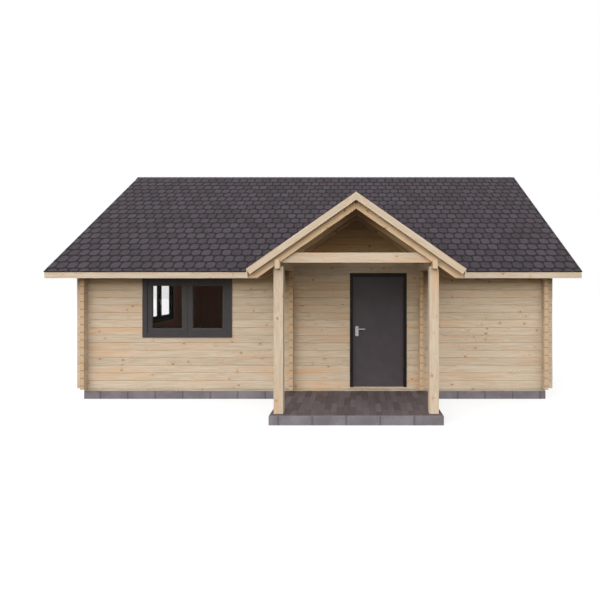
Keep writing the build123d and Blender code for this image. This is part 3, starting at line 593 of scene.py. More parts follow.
@dataclass(frozen=True)
class Paving:
    """Dark pavers, each with its own tone."""

    name: str
    pale: Colour = (0.119, 0.095, 0.100)
    deep: Colour = (0.061, 0.047, 0.049)
    hole: Colour = (0.035, 0.03, 0.03)

    def make(self) -> bpy.types.Material:
        """Builds the material."""
        surface = Surface(self.name)
        kit = surface.kit
        mottle = rough_mottle.use(kit, Place=kit.stretch(surface.position, (3.0, 0.6, 1.0)))
        tone = kit.line(kit.tab_tone(), 0.55, kit.times(mottle["Tone"], 0.45))
        colour = kit.blend(kit.mask(tone, 0.15, 0.85, soft=False), self.deep, self.pale)
        # Painted shade in the pores.
        colour = kit.stain(colour, mottle["Pores"], 0.3, self.hole)
        rough = kit.line(mottle["Tone"], 0.15, 0.74)
        return surface.finish(colour, rough, kit.bump(mottle["Height"], 0.4, 0.001), Specular_IOR_Level=0.3)


@dataclass(frozen=True)
class Shingle:
    """Bitumen with mineral granules; each tab has its own tone where the mesh gives one.

    Args:
        name: the material's name.
        pale: the lighter granules.
        deep: the darker granules.
        cool: colour of the bluer tabs.
        plum: colour of the redder tabs.
        tabs: whether the mesh has a tone for each tab.
    """

    name: str
    pale: Colour = (0.0520, 0.0412, 0.0510)
    deep: Colour = (0.0230, 0.0182, 0.0225)
    cool: Colour = (0.044, 0.045, 0.050)
    plum: Colour = (0.058, 0.041, 0.051)
    tabs: bool = True

    def make(self) -> bpy.types.Material:
        """Builds the material."""
        surface = Surface(self.name)
        kit = surface.kit
        granules = mineral_granules.use(kit, Place=surface.position)
        colour = kit.blend(kit.mask(granules["Tone"], 0.28, 0.72), self.deep, self.pale)
        if self.tabs:
            tab = kit.tab_tone()
            colour = kit.shade(colour, kit.spread(tab, 0.80, 1.18))
            colour = kit.stain(colour, kit.mask(tab, 0.88, 0.97), 0.22, self.cool)
            colour = kit.stain(colour, kit.mask(tab, 0.09, 0.03), 0.5, self.plum)
        rough = kit.line(granules["Tone"], 0.12, 0.84)
        return surface.finish(colour, rough, kit.bump(granules["Height"], 0.5, 0.0012), Specular_IOR_Level=0.2)


@dataclass(frozen=True)
class Coating:
    """Satin paint or powder coating on the door and windows.

    Args:
        name: the material's name.
        colour: the coating's colour.
        worn: the colour of its lighter marks.
        dust: the colour of the splashed dust.
        gloss: its roughness.
    """

    name: str
    colour: Colour
    worn: Colour
    dust: Colour = (0.28, 0.25, 0.22)
    gloss: float = 0.46

    def make(self) -> bpy.types.Material:
        """Builds the material."""
        surface = Surface(self.name)
        kit, position = surface.kit, surface.position
        film = coating_film.use(kit, Place=position)
        clouds = kit.mask(film["Clouds"], 0.35, 0.65)
        colour = kit.blend(clouds, scaled(self.colour, 0.95), scaled(self.colour, 1.06))
        colour = kit.stain(colour, film["Marks"], 0.10, self.worn)
        colour = kit.stain(colour, settled_dust.use(kit, Place=position)["Dust"], 0.07, self.dust)
        rough = kit.line(film["Marks"], 0.14, self.gloss)
        return surface.finish(colour, rough, kit.bump(film["Height"], 0.12, 0.0004), Specular_IOR_Level=0.14)


@dataclass(frozen=True)
class Metal:
    """Satin steel or zinc, brushed one way.

    Args:
        name: the material's name.
        colour: the metal's colour.
        brushed: how the brush marks are stretched.
        gloss: its roughness.
        dull: the colour of its dull marks.
    """

    name: str
    colour: Colour
    brushed: tuple[float, float, float] = (40.0, 40.0, 900.0)
    gloss: float = 0.36
    dull: Colour = (0.34, 0.33, 0.32)

    def make(self) -> bpy.types.Material:
        """Builds the material."""
        surface = Surface(self.name)
        kit, position = surface.kit, surface.position
        marks = kit.drawn_noise(position, self.brushed, 3.0, 0.6)
        film = coating_film.use(kit, Place=position)
        colour = kit.blend(kit.mask(marks, 0.3, 0.7), scaled(self.colour, 0.80), self.colour)
        colour = kit.stain(colour, film["Marks"], 0.25, self.dull)
        rough = kit.line(film["Clouds"], 0.06, kit.line(marks, 0.12, self.gloss))
        return surface.finish(colour, rough, kit.bump(marks, 0.15, 0.0003), Metallic=1.0)


@dataclass(frozen=True)
class Glazing:
    """Clear window glass with faint smears."""

    name: str
    tint: Colour = (0.90, 0.905, 0.90)

    def make(self) -> bpy.types.Material:
        """Builds the material."""
        surface = Surface(self.name)
        kit = surface.kit
        smear = kit.drawn_noise(surface.position, (6.0, 6.0, 2.0), 4.0, 0.6)
        colour = kit.blend(kit.mask(smear, 0.4, 0.7), self.tint, scaled(self.tint, 0.96))
        rough = kit.times(kit.mask(smear, 0.5, 0.8), 0.03)
        return surface.finish(colour, rough, kit.bump(smear, 0.02, 0.0005), Transmission_Weight=1.0, IOR=1.12,
                              Specular_IOR_Level=0.3)


@dataclass(frozen=True)
class Rubber:
    """Black sealing strip."""

    name: str
    colour: Colour = (0.012, 0.012, 0.013)

    def make(self) -> bpy.types.Material:
        """Builds the material."""
        surface = Surface(self.name)
        kit = surface.kit
        bloom = kit.noise(surface.position, 45.0, 4.0, 0.6)
        colour = kit.blend(kit.mask(bloom, 0.4, 0.8), self.colour, scaled(self.colour, 2.2))
        return surface.finish(colour, kit.spread(bloom, 0.55, 0.8), kit.bump(bloom, 0.2, 0.0005))


class Finishes:
    """Every finish of the house, made once."""

    def __init__(self) -> None:
        """Makes the materials."""
        half_log = LOG_BASE + LOG_HEIGHT / 2
        side_first = LOG_BASE - LOG_HEIGHT / 2
        pieces = [
            # The front logs above 2.42 m, the porch gable, get the painted shade tint.
            Timber("logs along the front", GrainWay.ALONG_X, course=LOG_HEIGHT, first=LOG_BASE, shade_tint_level=2.42),
            Timber("logs along the sides", GrainWay.ALONG_Y, course=LOG_HEIGHT, first=side_first),
            Timber("porch plates", GrainWay.ALONG_Y, first=half_log, end_pale=(0.570, 0.460, 0.350),
                   end_deep=(0.500, 0.385, 0.275)),
            Timber("planed timber along x", GrainWay.ALONG_X, spread=0.04),
            Timber("planed timber along y", GrainWay.ALONG_Y, spread=0.04, end_pale=(0.56, 0.47, 0.37),
                   end_deep=(0.50, 0.40, 0.29)),
            Timber("upright timber", GrainWay.ALONG_Z, spread=0.03),
            Timber("main slope timber", GrainWay.MAIN_SLOPE, spread=0.05),
            Timber("porch slope timber", GrainWay.PORCH_SLOPE, spread=0.03),
            # Painted light: the porch rafters are paler and warmer than the other planed timber, to look lit in the
            # shade under the porch roof.
            Timber("porch rafter timber", GrainWay.PORCH_SLOPE, pale=(0.64, 0.49, 0.34), deep=(0.55, 0.40, 0.25),
                   spread=0.03),
            Timber("soffit boards", GrainWay.ALONG_X, spread=0.12),
            # Painted shade: the porch ceiling boards are darker and warmer than the other boards, as wood looks in
            # the porch's shade.
            Timber("porch ceiling boards", GrainWay.ALONG_Y, pale=(0.54, 0.41, 0.26), deep=(0.44, 0.32, 0.18),
                   spread=0.12),
            Timber("floor boards", GrainWay.ALONG_X, pale=(0.40, 0.29, 0.18), deep=(0.29, 0.19, 0.10),
                   course=0.115, across=1, spread=0.14, gloss=0.5),
            Timber("bearer timber", GrainWay.ALONG_X, pale=(0.48, 0.43, 0.36), deep=(0.36, 0.31, 0.24)),
            Concrete("plinth concrete"),
            Concrete("porch slab concrete", seam=0.495, shift=-0.1),
            Shingle("shingle tabs"),
            # The underlay, seen between the tabs, is much darker than them: partly the dark print of real shingles,
            # partly painted shade in the gaps.
            Shingle("shingle underlay", pale=(0.0185, 0.0150, 0.0178), deep=(0.0093, 0.0075, 0.0085), tabs=False),
            Paving("porch paving"),
            Coating("door leaf coating", (0.0590, 0.0520, 0.0630), (0.09, 0.08, 0.09)),
            # The door frame's near-black brown is partly its dark paint and partly painted shade from the porch.
            Coating("door frame coating", (0.0100, 0.0078, 0.0060), (0.03, 0.027, 0.023)),
            Coating("window coating", (0.0470, 0.0440, 0.0490), (0.09, 0.09, 0.10)),
            # Painted highlight: the beads get a paler copy of the window paint, standing for the light lines on
            # their bevels.
            Coating("glazing bead highlight coating", (0.0650, 0.0620, 0.0670), (0.10, 0.10, 0.11)),
            Metal("satin steel", (0.46, 0.45, 0.46)),
            Metal("hinge steel", (0.38, 0.38, 0.39), gloss=0.40),
            Metal("nail zinc", (0.34, 0.34, 0.34), brushed=(300.0, 300.0, 300.0), gloss=0.5),
            Glazing("window glass"),
            Rubber("sealing strip"),
        ]
        self.made: dict[str, bpy.types.Material] = {piece.name: piece.make() for piece in pieces}

    def __getitem__(self, name: str) -> bpy.types.Material:
        """The material of that name."""
        return self.made[name]


NODE_FINISHES: dict[str, str] = {
    "logs along the front": "front_wall_left front_wall_right front_gable back_wall",
    "logs along the sides": "left_wall right_wall cross_log_ends",
    "porch plates": "porch_plates",
    "planed timber along x": "porch_tie_beam ridge_beam fascia_front fascia_back door_threshold",
    "planed timber along y": "porch_fascias",
    "upright timber": "porch_post_left porch_post_right",
    "main slope timber": "rafters_front rafters_back barge_boards_left barge_boards_right",
    "porch slope timber": "porch_barge_boards",
    "porch rafter timber": "porch_rafters",
    "bearer timber": "base_bearers",
    "plinth concrete": "foundation_slab",
    "porch slab concrete": "porch_slab",
    "shingle underlay": "shingles_front shingles_back porch_shingles",
    "door leaf coating": "door_leaf",
    "door frame coating": "door_frame",
    "window coating": "front_window_frame back_window_frame left_window_frame right_window_frame window_sashes",
    "satin steel": "door_handle_plates door_lever",
    "hinge steel": "door_hinge_pins door_hinge_knuckles",
    "window glass": "window_glass",
}


def dress_nodes(finishes: Finishes) -> None:
    """Gives each CAD node that keeps its mesh its finish."""
    for finish, names in NODE_FINISHES.items():
        for name in names.split():
            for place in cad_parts[name].material_slots:
                place.material = finishes[finish]
    LOG.info("dressed %d finishes on the CAD nodes", len(NODE_FINISHES))


def place_piece(name: str, mesh: bpy.types.Mesh, material: bpy.types.Material, body: str = HOUSE
                ) -> bpy.types.Object:
    """Puts a finished mesh in the scene.

    Args:
        name: the piece's name.
        mesh: its mesh.
        material: its material.
        body: the CAD body that it moves with.

    Returns:
        The piece.
    """
    mesh.materials.append(material)
    piece = bpy.data.objects.new(name, mesh)
    bpy.context.scene.collection.objects.link(piece)
    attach(piece, body)
    LOG.info("%s: %d faces on %s", name, len(mesh.polygons), body)
    return piece


@dataclass
class MeshDraft:
    """Points and faces of a piece while it is being made."""

    points: list[Vector] = field(default_factory=list)
    faces: list[list[int]] = field(default_factory=list)
    tones: list[float] = field(default_factory=list)

    def skin(self, rings: Sequence[Sequence[Vector]], tone: float = 0.5, ends: bool = True) -> None:
        """Adds a closed solid through rings of points.

        Args:
            rings: rings with the same number of points, in order.
            tone: the tone kept on its faces.
            ends: whether each end gets a face, or the last ring is joined to the first.
        """
        start, count = len(self.points), len(rings[0])
        for ring in rings:
            self.points.extend(ring)
        if ends:
            self.faces.append([start + index for index in reversed(range(count))])
        for level in range(len(rings) - ends):
            low = start + level * count
            high = start + (level + 1) % len(rings) * count
            for index in range(count):
                after = (index + 1) % count
                self.faces.append([low + index, low + after, high + after, high + index])
        if ends:
            self.faces.append([len(self.points) - count + index for index in range(count)])
        self.tones.extend([tone] * (len(self.faces) - len(self.tones)))

    def block(self, low: Sequence[float], high: Sequence[float], edge: float, tone: float) -> None:
        """Adds a box with bevelled upper and lower edges.

        Args:
            low: its lowest corner.
            high: its highest corner.
            edge: width of the bevel.
            tone: the tone kept on its faces.
        """
        rings = []
        for inset, level in ((edge, low[2]), (0.0, low[2] + edge), (0.0, high[2] - edge), (edge, high[2])):
            (x0, x1), (y0, y1) = ((low[axis] + inset, high[axis] - inset) for axis in (0, 1))
            rings.append([Vector((x, y, level)) for x, y in ((x0, y0), (x1, y0), (x1, y1), (x0, y1))])
        self.skin(rings, tone)

    def finish(self, name: str, material: bpy.types.Material, slot: str, body: str = HOUSE) -> bpy.types.Object:
        """Makes the piece, with its faces turned outwards and a tone on each.

        Args:
            name: the piece's name.
            material: its material.
            slot: not used.
            body: the CAD body that it moves with.

        Returns:
            The piece.
        """
        mesh = bpy.data.meshes.new(name)
        mesh.from_pydata([tuple(point) for point in self.points], [], self.faces)
        mesh.update()
        shape = bmesh.new()
        shape.from_mesh(mesh)
        bmesh.ops.recalc_face_normals(shape, faces=shape.faces)
        shape.to_mesh(mesh)
        shape.free()
        mesh.attributes.new("tab_tone", "FLOAT", "FACE").data.foreach_set("value", self.tones)
        return place_piece(name, mesh, material, body)


def clipped(shape: Shape, normal: Point, limit: float) -> Shape:
    """Cuts a flat shape by a straight line.

    Args:
        shape: its corners in order.
        normal: the direction in which the kept side lies.
        limit: the least value of a kept point along the normal.

    Returns:
        The corners of what is kept.
    """
    kept: Shape = []
    depths = [x * normal[0] + y * normal[1] - limit for x, y in shape]
    for index, point in enumerate(shape):
        after = (index + 1) % len(shape)
        if depths[index] >= 0:
            kept.append(point)
        if depths[index] * depths[after] < 0:
            share = depths[index] / (depths[index] - depths[after])
            other = shape[after]
            kept.append((point[0] + (other[0] - point[0]) * share, point[1] + (other[1] - point[1]) * share))
    return kept


def area_of(shape: Shape) -> float:
    """Area of a flat shape."""
    pairs = zip(shape, [*shape[1:], shape[0]])
    return abs(sum(a[0] * b[1] - b[0] * a[1] for a, b in pairs)) / 2


def slope_ways(inward: Vector) -> tuple[Vector, Vector]:
    """The directions up and out of a slope that rises towards a level direction."""
    return inward * PITCH_COS + UP * PITCH_SIN, UP * PITCH_COS - inward * PITCH_SIN


@dataclass
class Slope:
    """A roof slope as a flat frame: u runs along the eave, s up the slope and h out of it.

    Args:
        corner: the point where u and s are 0.
        along: direction of u.
        inward: the level direction in which the slope rises.
        low_u: lowest u.
        high_u: highest u.
        run: the slope's level width.
        up: direction of s, worked out.
        out: direction of h, worked out.
        height: highest s, worked out.
    """

    corner: Vector
    along: Vector
    inward: Vector
    low_u: float
    high_u: float
    run: float
    up: Vector = field(init=False)
    out: Vector = field(init=False)
    height: float = field(init=False)

    def __post_init__(self) -> None:
        """Works out the directions of s and h and the highest s."""
        self.up, self.out = slope_ways(self.inward)
        self.height = self.run / PITCH_COS

    def at(self, u: float, s: float, h: float) -> Vector:
        """The point of the house's frame at u, s and h."""
        return self.corner + self.along * u + self.up * s + self.out * h


@dataclass
class ShingleRoof:
    """Rows of rounded tabs on the four slopes, and the caps on both ridges.

    Args:
        finishes: the finishes.
        row: height of one row up the slope.
        first_row: place of the first row.
        pitch: distance between tabs along a row.
        phase: place of the first tab.
        gap: distance between the tabs' edges.
        corner_u: cut of a tab's corner along the row.
        corner_s: cut of a tab's corner up the slope.
        least_cut: the least cut, as a share.
        cut_range: how far the cuts differ, as a share.
        bow: how far the cut's middle stands in from the corner, as a share of the cut.
        low_lift: height of a tab's lower edge.
        high_lift: height of a tab's upper edge.
        seat: height of a tab's foot.
        rim: width of a tab's rim.
        rim_fall: fall of the rim, as a share of its width.
        valley_gap: distance of the tabs from a valley.
        valley_clear: distance up the slope past which a valley can't reach.
        margin: distance of the tabs from the slope's edges.
        least_area: the smallest piece of a tab that is kept.
        cap_step: length of one cap.
        cap_leg: reach of a cap down each slope.
        cap_range: how far that reach differs.
        cap_lap: distance between two caps.
        cap_tops: height of a cap's start and of its end over the ridge.
        cap_edge: extra height of a cap's lower edge.
        cap_seat: height of the underside at that edge.
        cap_crown: height of the underside over the ridge.
        cap_end: how far the porch's last cap runs past the valley's head.
    """

    finishes: Finishes
    row: float = 0.2085
    first_row: float = 0.0874
    pitch: float = 0.1845
    phase: float = 0.045
    gap: float = 0.024
    corner_u: float = 0.042
    corner_s: float = 0.060
    least_cut: float = 0.70
    cut_range: float = 0.65
    bow: float = 0.30
    low_lift: float = 0.0060
    high_lift: float = 0.0028
    seat: float = -0.0006
    rim: float = 0.0022
    rim_fall: float = 0.6
    valley_gap: float = 0.010
    valley_clear: float = 0.1
    margin: float = 0.004
    least_area: float = 0.0008
    cap_step: float = 0.145
    cap_leg: float = 0.128
    cap_range: float = 0.006
    cap_lap: float = 0.001
    cap_tops: Point = (0.0078, 0.0048)
    cap_edge: float = 0.0002
    cap_seat: float = 0.0045
    cap_crown: float = 0.0003
    cap_end: float = 0.01

    def main_slope(self, side: int) -> Slope:
        """The frame of the front slope, -1, or the back slope, 1."""
        corner = Vector((0.0, side * SHINGLE_REACH, self.ridge_level() - SHINGLE_REACH * PITCH_TAN))
        return Slope(corner, RIGHT, BACK * -side, -ROOF_HALF_WIDTH, ROOF_HALF_WIDTH, SHINGLE_REACH)

    def porch_slope(self, side: int) -> Slope:
        """The frame of the porch's left slope, -1, or its right slope, 1."""
        level = self.porch_ridge_level() - PORCH_HALF_WIDTH * PITCH_TAN
        corner = Vector((PORCH_X + side * PORCH_HALF_WIDTH, 0.0, level))
        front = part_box("porch_shingles")[0].y
        return Slope(corner, BACK, RIGHT * -side, front, -VALLEY_APEX, PORCH_HALF_WIDTH)

    @staticmethod
    def ridge_level() -> float:
        """Level of the main ridge on the shingles' face."""
        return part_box("shingles_back")[1].z

    def porch_ridge_level(self) -> float:
        """Level of the porch ridge on the shingles' face."""
        return self.ridge_level() - VALLEY_APEX * PITCH_TAN

    def outline(self, u: float, s: float, draw: random.Random) -> Shape:
        """Corners of one rounded tab, each corner cut a little differently.

        Args:
            u: place of its middle along the eave.
            s: place of its middle up the slope.
            draw: the source of the differences.

        Returns:
            The corners in order.
        """
        half_u, half_s = (self.pitch - self.gap) / 2, (self.row - self.gap) / 2
        corners: Shape = []
        for side_u, side_s in ((1, -1), (1, 1), (-1, 1), (-1, -1)):
            cut_u = self.corner_u * (self.least_cut + self.cut_range * draw.random())
            cut_s = self.corner_s * (self.least_cut + self.cut_range * draw.random())
            quarter = [(half_u - cut_u, half_s), (half_u - cut_u * self.bow, half_s - cut_s * self.bow),
                       (half_u, half_s - cut_s)]
            ordered = quarter if side_u * side_s < 0 else reversed(quarter)
            corners.extend((u + side_u * a, s + side_s * b) for a, b in ordered)
        return corners

    def fitted(self, shape: Shape, slope: Slope, valleys: Valleys) -> list[Shape]:
        """Cuts a tab to its slope's edges and valleys."""
        edges = (((1.0, 0.0), slope.low_u), ((-1.0, 0.0), -slope.high_u), ((0.0, 1.0), 0.0),
                 ((0.0, -1.0), -slope.height))
        for normal, limit in edges:
            shape = clipped(shape, normal, limit + self.margin)
        return [part for part in valleys(shape) if len(part) > 2 and area_of(part) > self.least_area]

    def add_tab(self, draft: MeshDraft, slope: Slope, shape: Shape, row_low: float, tone: float) -> None:
        """Adds one tab, thicker at its lower edge than under the row above."""
        middle_u = sum(u for u, _ in shape) / len(shape)
        middle_s = sum(s for _, s in shape) / len(shape)

        def lift(s: float) -> float:
            """Height of the tab's face at s."""
            share = min(1.0, max(0.0, (s - row_low) / self.row))
            return self.low_lift + (self.high_lift - self.low_lift) * share

        def inset(u: float, s: float) -> Point:
            """A corner moved in by the width of the rim."""
            du, ds = middle_u - u, middle_s - s
            reach = math.hypot(du, ds) or 1.0
            return u + du / reach * self.rim, s + ds / reach * self.rim

        foot = [slope.at(u, s, self.seat) for u, s in shape]
        side = [slope.at(u, s, lift(s) - self.rim * self.rim_fall) for u, s in shape]
        face = [slope.at(*inset(u, s), lift(s)) for u, s in shape]
        draft.skin([foot, side, face], tone)

    def cover(self, name: str, slope: Slope, valleys: Valleys, seed: int) -> None:
        """Lays the rows of tabs on one slope.

        Args:
            name: the piece's name.
            slope: the slope's frame.
            valleys: cuts a tab to the valleys.
            seed: seed of the tabs' tones and corners.
        """
        draft, draw = MeshDraft(), random.Random(seed)
        rows = int((slope.height - self.first_row) / self.row) + 2
        first = math.floor(slope.low_u / self.pitch) - 1
        last = math.ceil(slope.high_u / self.pitch) + 1
        for row in range(-1, rows):
            low = self.first_row + row * self.row
            for place in range(first, last + 1):
                middle = (place + 0.5 * (row % 2)) * self.pitch + self.phase
                tone = draw.random()
                shape = self.outline(middle, low + self.row / 2, draw)
                for part in self.fitted(shape, slope, valleys):
                    self.add_tab(draft, slope, part, low, tone)
        draft.finish(name, self.finishes["shingle tabs"], "bitumen_shingle")

    def front_valleys(self, shape: Shape) -> list[Shape]:
        """Cuts a tab of the front slope to both valleys."""
        reach = SHINGLE_REACH - VALLEY_APEX + self.valley_gap
        if all(s * PITCH_COS > reach + self.valley_clear for _, s in shape):
            return [shape]
        halves = ((side, clipped(shape, (side, 0.0), side * PORCH_X)) for side in (-1, 1))
        return [clipped(half, (side, PITCH_COS), reach + side * PORCH_X) for side, half in halves]

    def porch_valley(self, shape: Shape) -> list[Shape]:
        """Cuts a tab of a porch slope to its valley."""
        return [clipped(shape, (-1.0, PITCH_COS), VALLEY_APEX + PORCH_HALF_WIDTH + self.valley_gap)]

    def caps(self, name: str, node: str, origin: Vector, slopes: tuple[Slope, Slope], start: float, end: float,
             seed: int) -> None:
        """Lays folded cap tabs along a ridge, in place of the plain cap.

        Args:
            name: the piece's name.
            node: the CAD node that it stands for.
            origin: the ridge's point on the shingles' face where u is 0.
            slopes: the two slopes that meet in the ridge.
            start: where the ridge starts.
            end: where it ends.
            seed: seed of the tones and the reaches.
        """
        draft, draw = MeshDraft(), random.Random(seed)
        one, other = slopes
        count = round((end - start) / self.cap_step)
        step = (end - start) / count
        for index in range(count):
            rings = []
            ends = (start + index * step, start + (index + 1) * step - self.cap_lap)
            for place, top in zip(ends, self.cap_tops):
                base = origin + one.along * place
                leg = self.cap_leg - self.cap_range * draw.random()
                one_foot, other_foot = (base - slope.up * leg for slope in slopes)
                rings.append([
                    one_foot + one.out * self.cap_seat, one_foot + one.out * (top + self.cap_edge),
                    base + UP * (top / PITCH_COS), other_foot + other.out * (top + self.cap_edge),
                    other_foot + other.out * self.cap_seat, base + UP * self.cap_crown,
                ])
            draft.skin(rings, draw.random())
        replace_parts(draft.finish(name, self.finishes["shingle tabs"], "bitumen_shingle"), node)

    def build(self) -> None:
        """Builds every tab and cap."""
        front, back, left, right = (
            make(side) for make in (self.main_slope, self.porch_slope) for side in (-1, 1)
        )
        self.cover("shingle_tabs_front", front, self.front_valleys, 11)
        self.cover("shingle_tabs_back", back, lambda shape: [shape], 12)
        self.cover("shingle_tabs_porch_left", left, self.porch_valley, 13)
        self.cover("shingle_tabs_porch_right", right, self.porch_valley, 14)
        self.caps("ridge_cap_tabs", "ridge_cap", UP * self.ridge_level(), (front, back),
                  front.low_u, front.high_u, 21)
        self.caps("porch_ridge_cap_tabs", "porch_ridge_cap", RIGHT * PORCH_X + UP * self.porch_ridge_level(),
                  (left, right), left.low_u, left.high_u + self.cap_end, 22)


@dataclass(frozen=True)
class Run:
    """One sheet of boards.

    Args:
        across: direction across the boards.
        look: direction in which its shown face looks.
        side: the sheet on that side of the porch's middle, or 0 for the whole node.
    """

    across: Vector
    look: Vector
    side: int = 0

    def sheet(self, node: str) -> bmesh.types.BMesh:
        """Copies the sheet's mesh from its CAD node."""
        sheet = bmesh.new()
        sheet.from_mesh(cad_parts[node].data)
        bmesh.ops.remove_doubles(sheet, verts=sheet.verts, dist=1e-5)
        if self.side:
            other = [vert for vert in sheet.verts if (vert.co.x - PORCH_X) * self.side < 0.0]
            bmesh.ops.delete(sheet, geom=other, context="VERTS")
        return sheet


@dataclass
class Boarding:
    """Boards sawn out of the plain CAD sheets of the roof and floor, with a V at each joint."""

    finishes: Finishes
    roof_board: float = 0.0955
    floor_board: float = 0.115
    joint: float = 0.0004
    chamfer: float = 0.0035

    def sawn(self, name: str, node: str, runs: Sequence[Run], pitch: float, finish: str) -> None:
        """Cuts a CAD sheet into boards.

        Args:
            name: the new piece's name.
            node: the CAD node.
            runs: its sheets.
            pitch: width of one board.
            finish: the material's name.
        """
        total = bmesh.new()
        for run in runs:
            source = run.sheet(node)
            places = [vert.co.dot(run.across) for vert in source.verts]
            low, high = min(places), max(places)
            count = max(1, math.ceil((high - low) / pitch))
            for index in range(count):
                start = low + index * pitch + self.joint / 2 if index else None
                end = low + (index + 1) * pitch - self.joint / 2 if index < count - 1 else None
                self.add_board(total, source, run, start, end)
            source.free()
        mesh = bpy.data.meshes.new(name)
        total.to_mesh(mesh)
        total.free()
        for polygon in mesh.polygons:
            polygon.material_index = 0
            polygon.use_smooth = False
        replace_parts(place_piece(name, mesh, self.finishes[finish]), node)

    def add_board(self, total: bmesh.types.BMesh, source: bmesh.types.BMesh, run: Run,
                  start: float | None, end: float | None) -> None:
        """Cuts one board out of its sheet and adds it to the rest.

        Args:
            total: the mesh that collects the boards.
            source: the sheet.
            run: the sheet's directions.
            start: where the board starts across the sheet, or None at the sheet's own edge.
            end: where it ends, or None at the sheet's own edge.
        """
        board = source.copy()
        sides = [(place, way) for place, way in ((start, -run.across), (end, run.across)) if place is not None]
        for place, way in sides:
            self.cut(board, run.across * place, way)
        if board.verts:
            level = max(vert.co.dot(run.look) for vert in board.verts)
            for place, way in sides:
                corner = run.across * place + run.look * (level - self.chamfer)
                self.cut(board, corner, (way + run.look).normalized())
        mesh = bpy.data.meshes.new("board")
        board.to_mesh(mesh)
        total.from_mesh(mesh)
        board.free()
        bpy.data.meshes.remove(mesh)

    @staticmethod
    def cut(board: bmesh.types.BMesh, point: Vector, out: Vector) -> None:
        """Takes away what lies beyond a plane and closes the cut.

        Args:
            board: the board.
            point: a point of the plane.
            out: the direction in which the part taken away lies.
        """
        every = [*board.verts, *board.edges, *board.faces]
        cut = bmesh.ops.bisect_plane(board, geom=every, plane_co=point, plane_no=out, clear_outer=True, dist=1e-6)
        edges = [item for item in cut["geom_cut"] if isinstance(item, bmesh.types.BMEdge)]
        open_edges = [edge for edge in edges if edge.is_valid and edge.is_boundary]
        if open_edges:
            bmesh.ops.edgeloop_fill(board, edges=open_edges)

    @staticmethod
    def underside(inward: Vector, side: int = 0) -> Run:
        """The sheet of a slope that rises towards a level direction, shown from below."""
        up, out = slope_ways(inward)
        return Run(-up, -out, side)

    def build(self) -> None:
        """Builds the roof boarding, the porch ceiling and the floor."""
        for side, place in ((-1, "front"), (1, "back")):
            self.sawn(f"soffit_boards_{place}", f"roof_boards_{place}", [self.underside(BACK * -side)],
                      self.roof_board, "soffit boards")
        self.sawn("porch_ceiling_boards", "porch_boards", [self.underside(RIGHT * -side, side) for side in (-1, 1)],
                  self.roof_board, "porch ceiling boards")
        self.sawn("laid_floor_boards", "floor_boards", [Run(BACK, UP)], self.floor_board, "floor boards")


@dataclass(frozen=True)
class Plate:
    """A plate with rounded corners and a bevelled face.

    Args:
        half: half its width and half its height.
        corner: radius of its corners.
        seat: d of its seat.
        face: d of its face.
        bevel: width of the bevel round its face.
        steps: steps on each rounded corner.
        drop: how far it hangs below its place.
    """

    half: Point
    corner: float
    seat: float
    face: float
    bevel: float
    steps: int = 3
    drop: float = 0.0


@dataclass(frozen=True)
class Face:
    """A flat face to fit things on: u runs along it, h up and d out of it.

    Args:
        origin: the point where u, h and d are 0.
        along: direction of u.
        out: direction of d.
    """

    origin: Vector
    along: Vector
    out: Vector

    def at(self, u: float, h: float, d: float) -> Vector:
        """The point of the house's frame at u, h and d."""
        return self.origin + self.along * u + UP * h + self.out * d

    def fit(self, draft: MeshDraft, plate: Plate, u: float, h: float, level: float = 0.0) -> None:
        """Adds a plate.

        Args:
            draft: the mesh that it goes into.
            plate: the plate.
            u: place of its middle along the face.
            h: level from which its middle hangs.
            level: d from which its depths are measured.
        """
        lower = plate.face - math.copysign(plate.bevel, plate.face - plate.seat)
        rings = []
        for inset, depth in ((0.0, plate.seat), (0.0, lower), (plate.bevel, plate.face)):
            radius = max(plate.corner - inset, LEAST_RADIUS)
            reach_u, reach_h = (half - inset - radius for half in plate.half)
            ring = []
            for quarter, (side_u, side_h) in enumerate(QUARTERS):
                for step in range(plate.steps + 1):
                    angle = math.pi / 2 * (quarter + step / plate.steps)
                    ring.append(self.at(u + side_u * reach_u + radius * math.cos(angle),
                                        h - plate.drop + side_h * reach_h + radius * math.sin(angle),
                                        level + depth))
            rings.append(ring)
        draft.skin(rings)

    def hoop(self, draft: MeshDraft, middle: Point, half: Point, profile: Sequence[Point]) -> None:
        """Adds a mitred frame inside a rectangle.

        Args:
            draft: the mesh that it goes into.
            middle: the rectangle's middle.
            half: half its width and half its height.
            profile: the section's points: distance in from the rectangle's edge, and d.
        """
        rings = [
            [self.at(middle[0] + side_u * (half[0] - inward), middle[1] + side_h * (half[1] - inward), depth)
             for inward, depth in profile]
            for side_u, side_h in QUARTERS
        ]
        draft.skin(rings, ends=False)


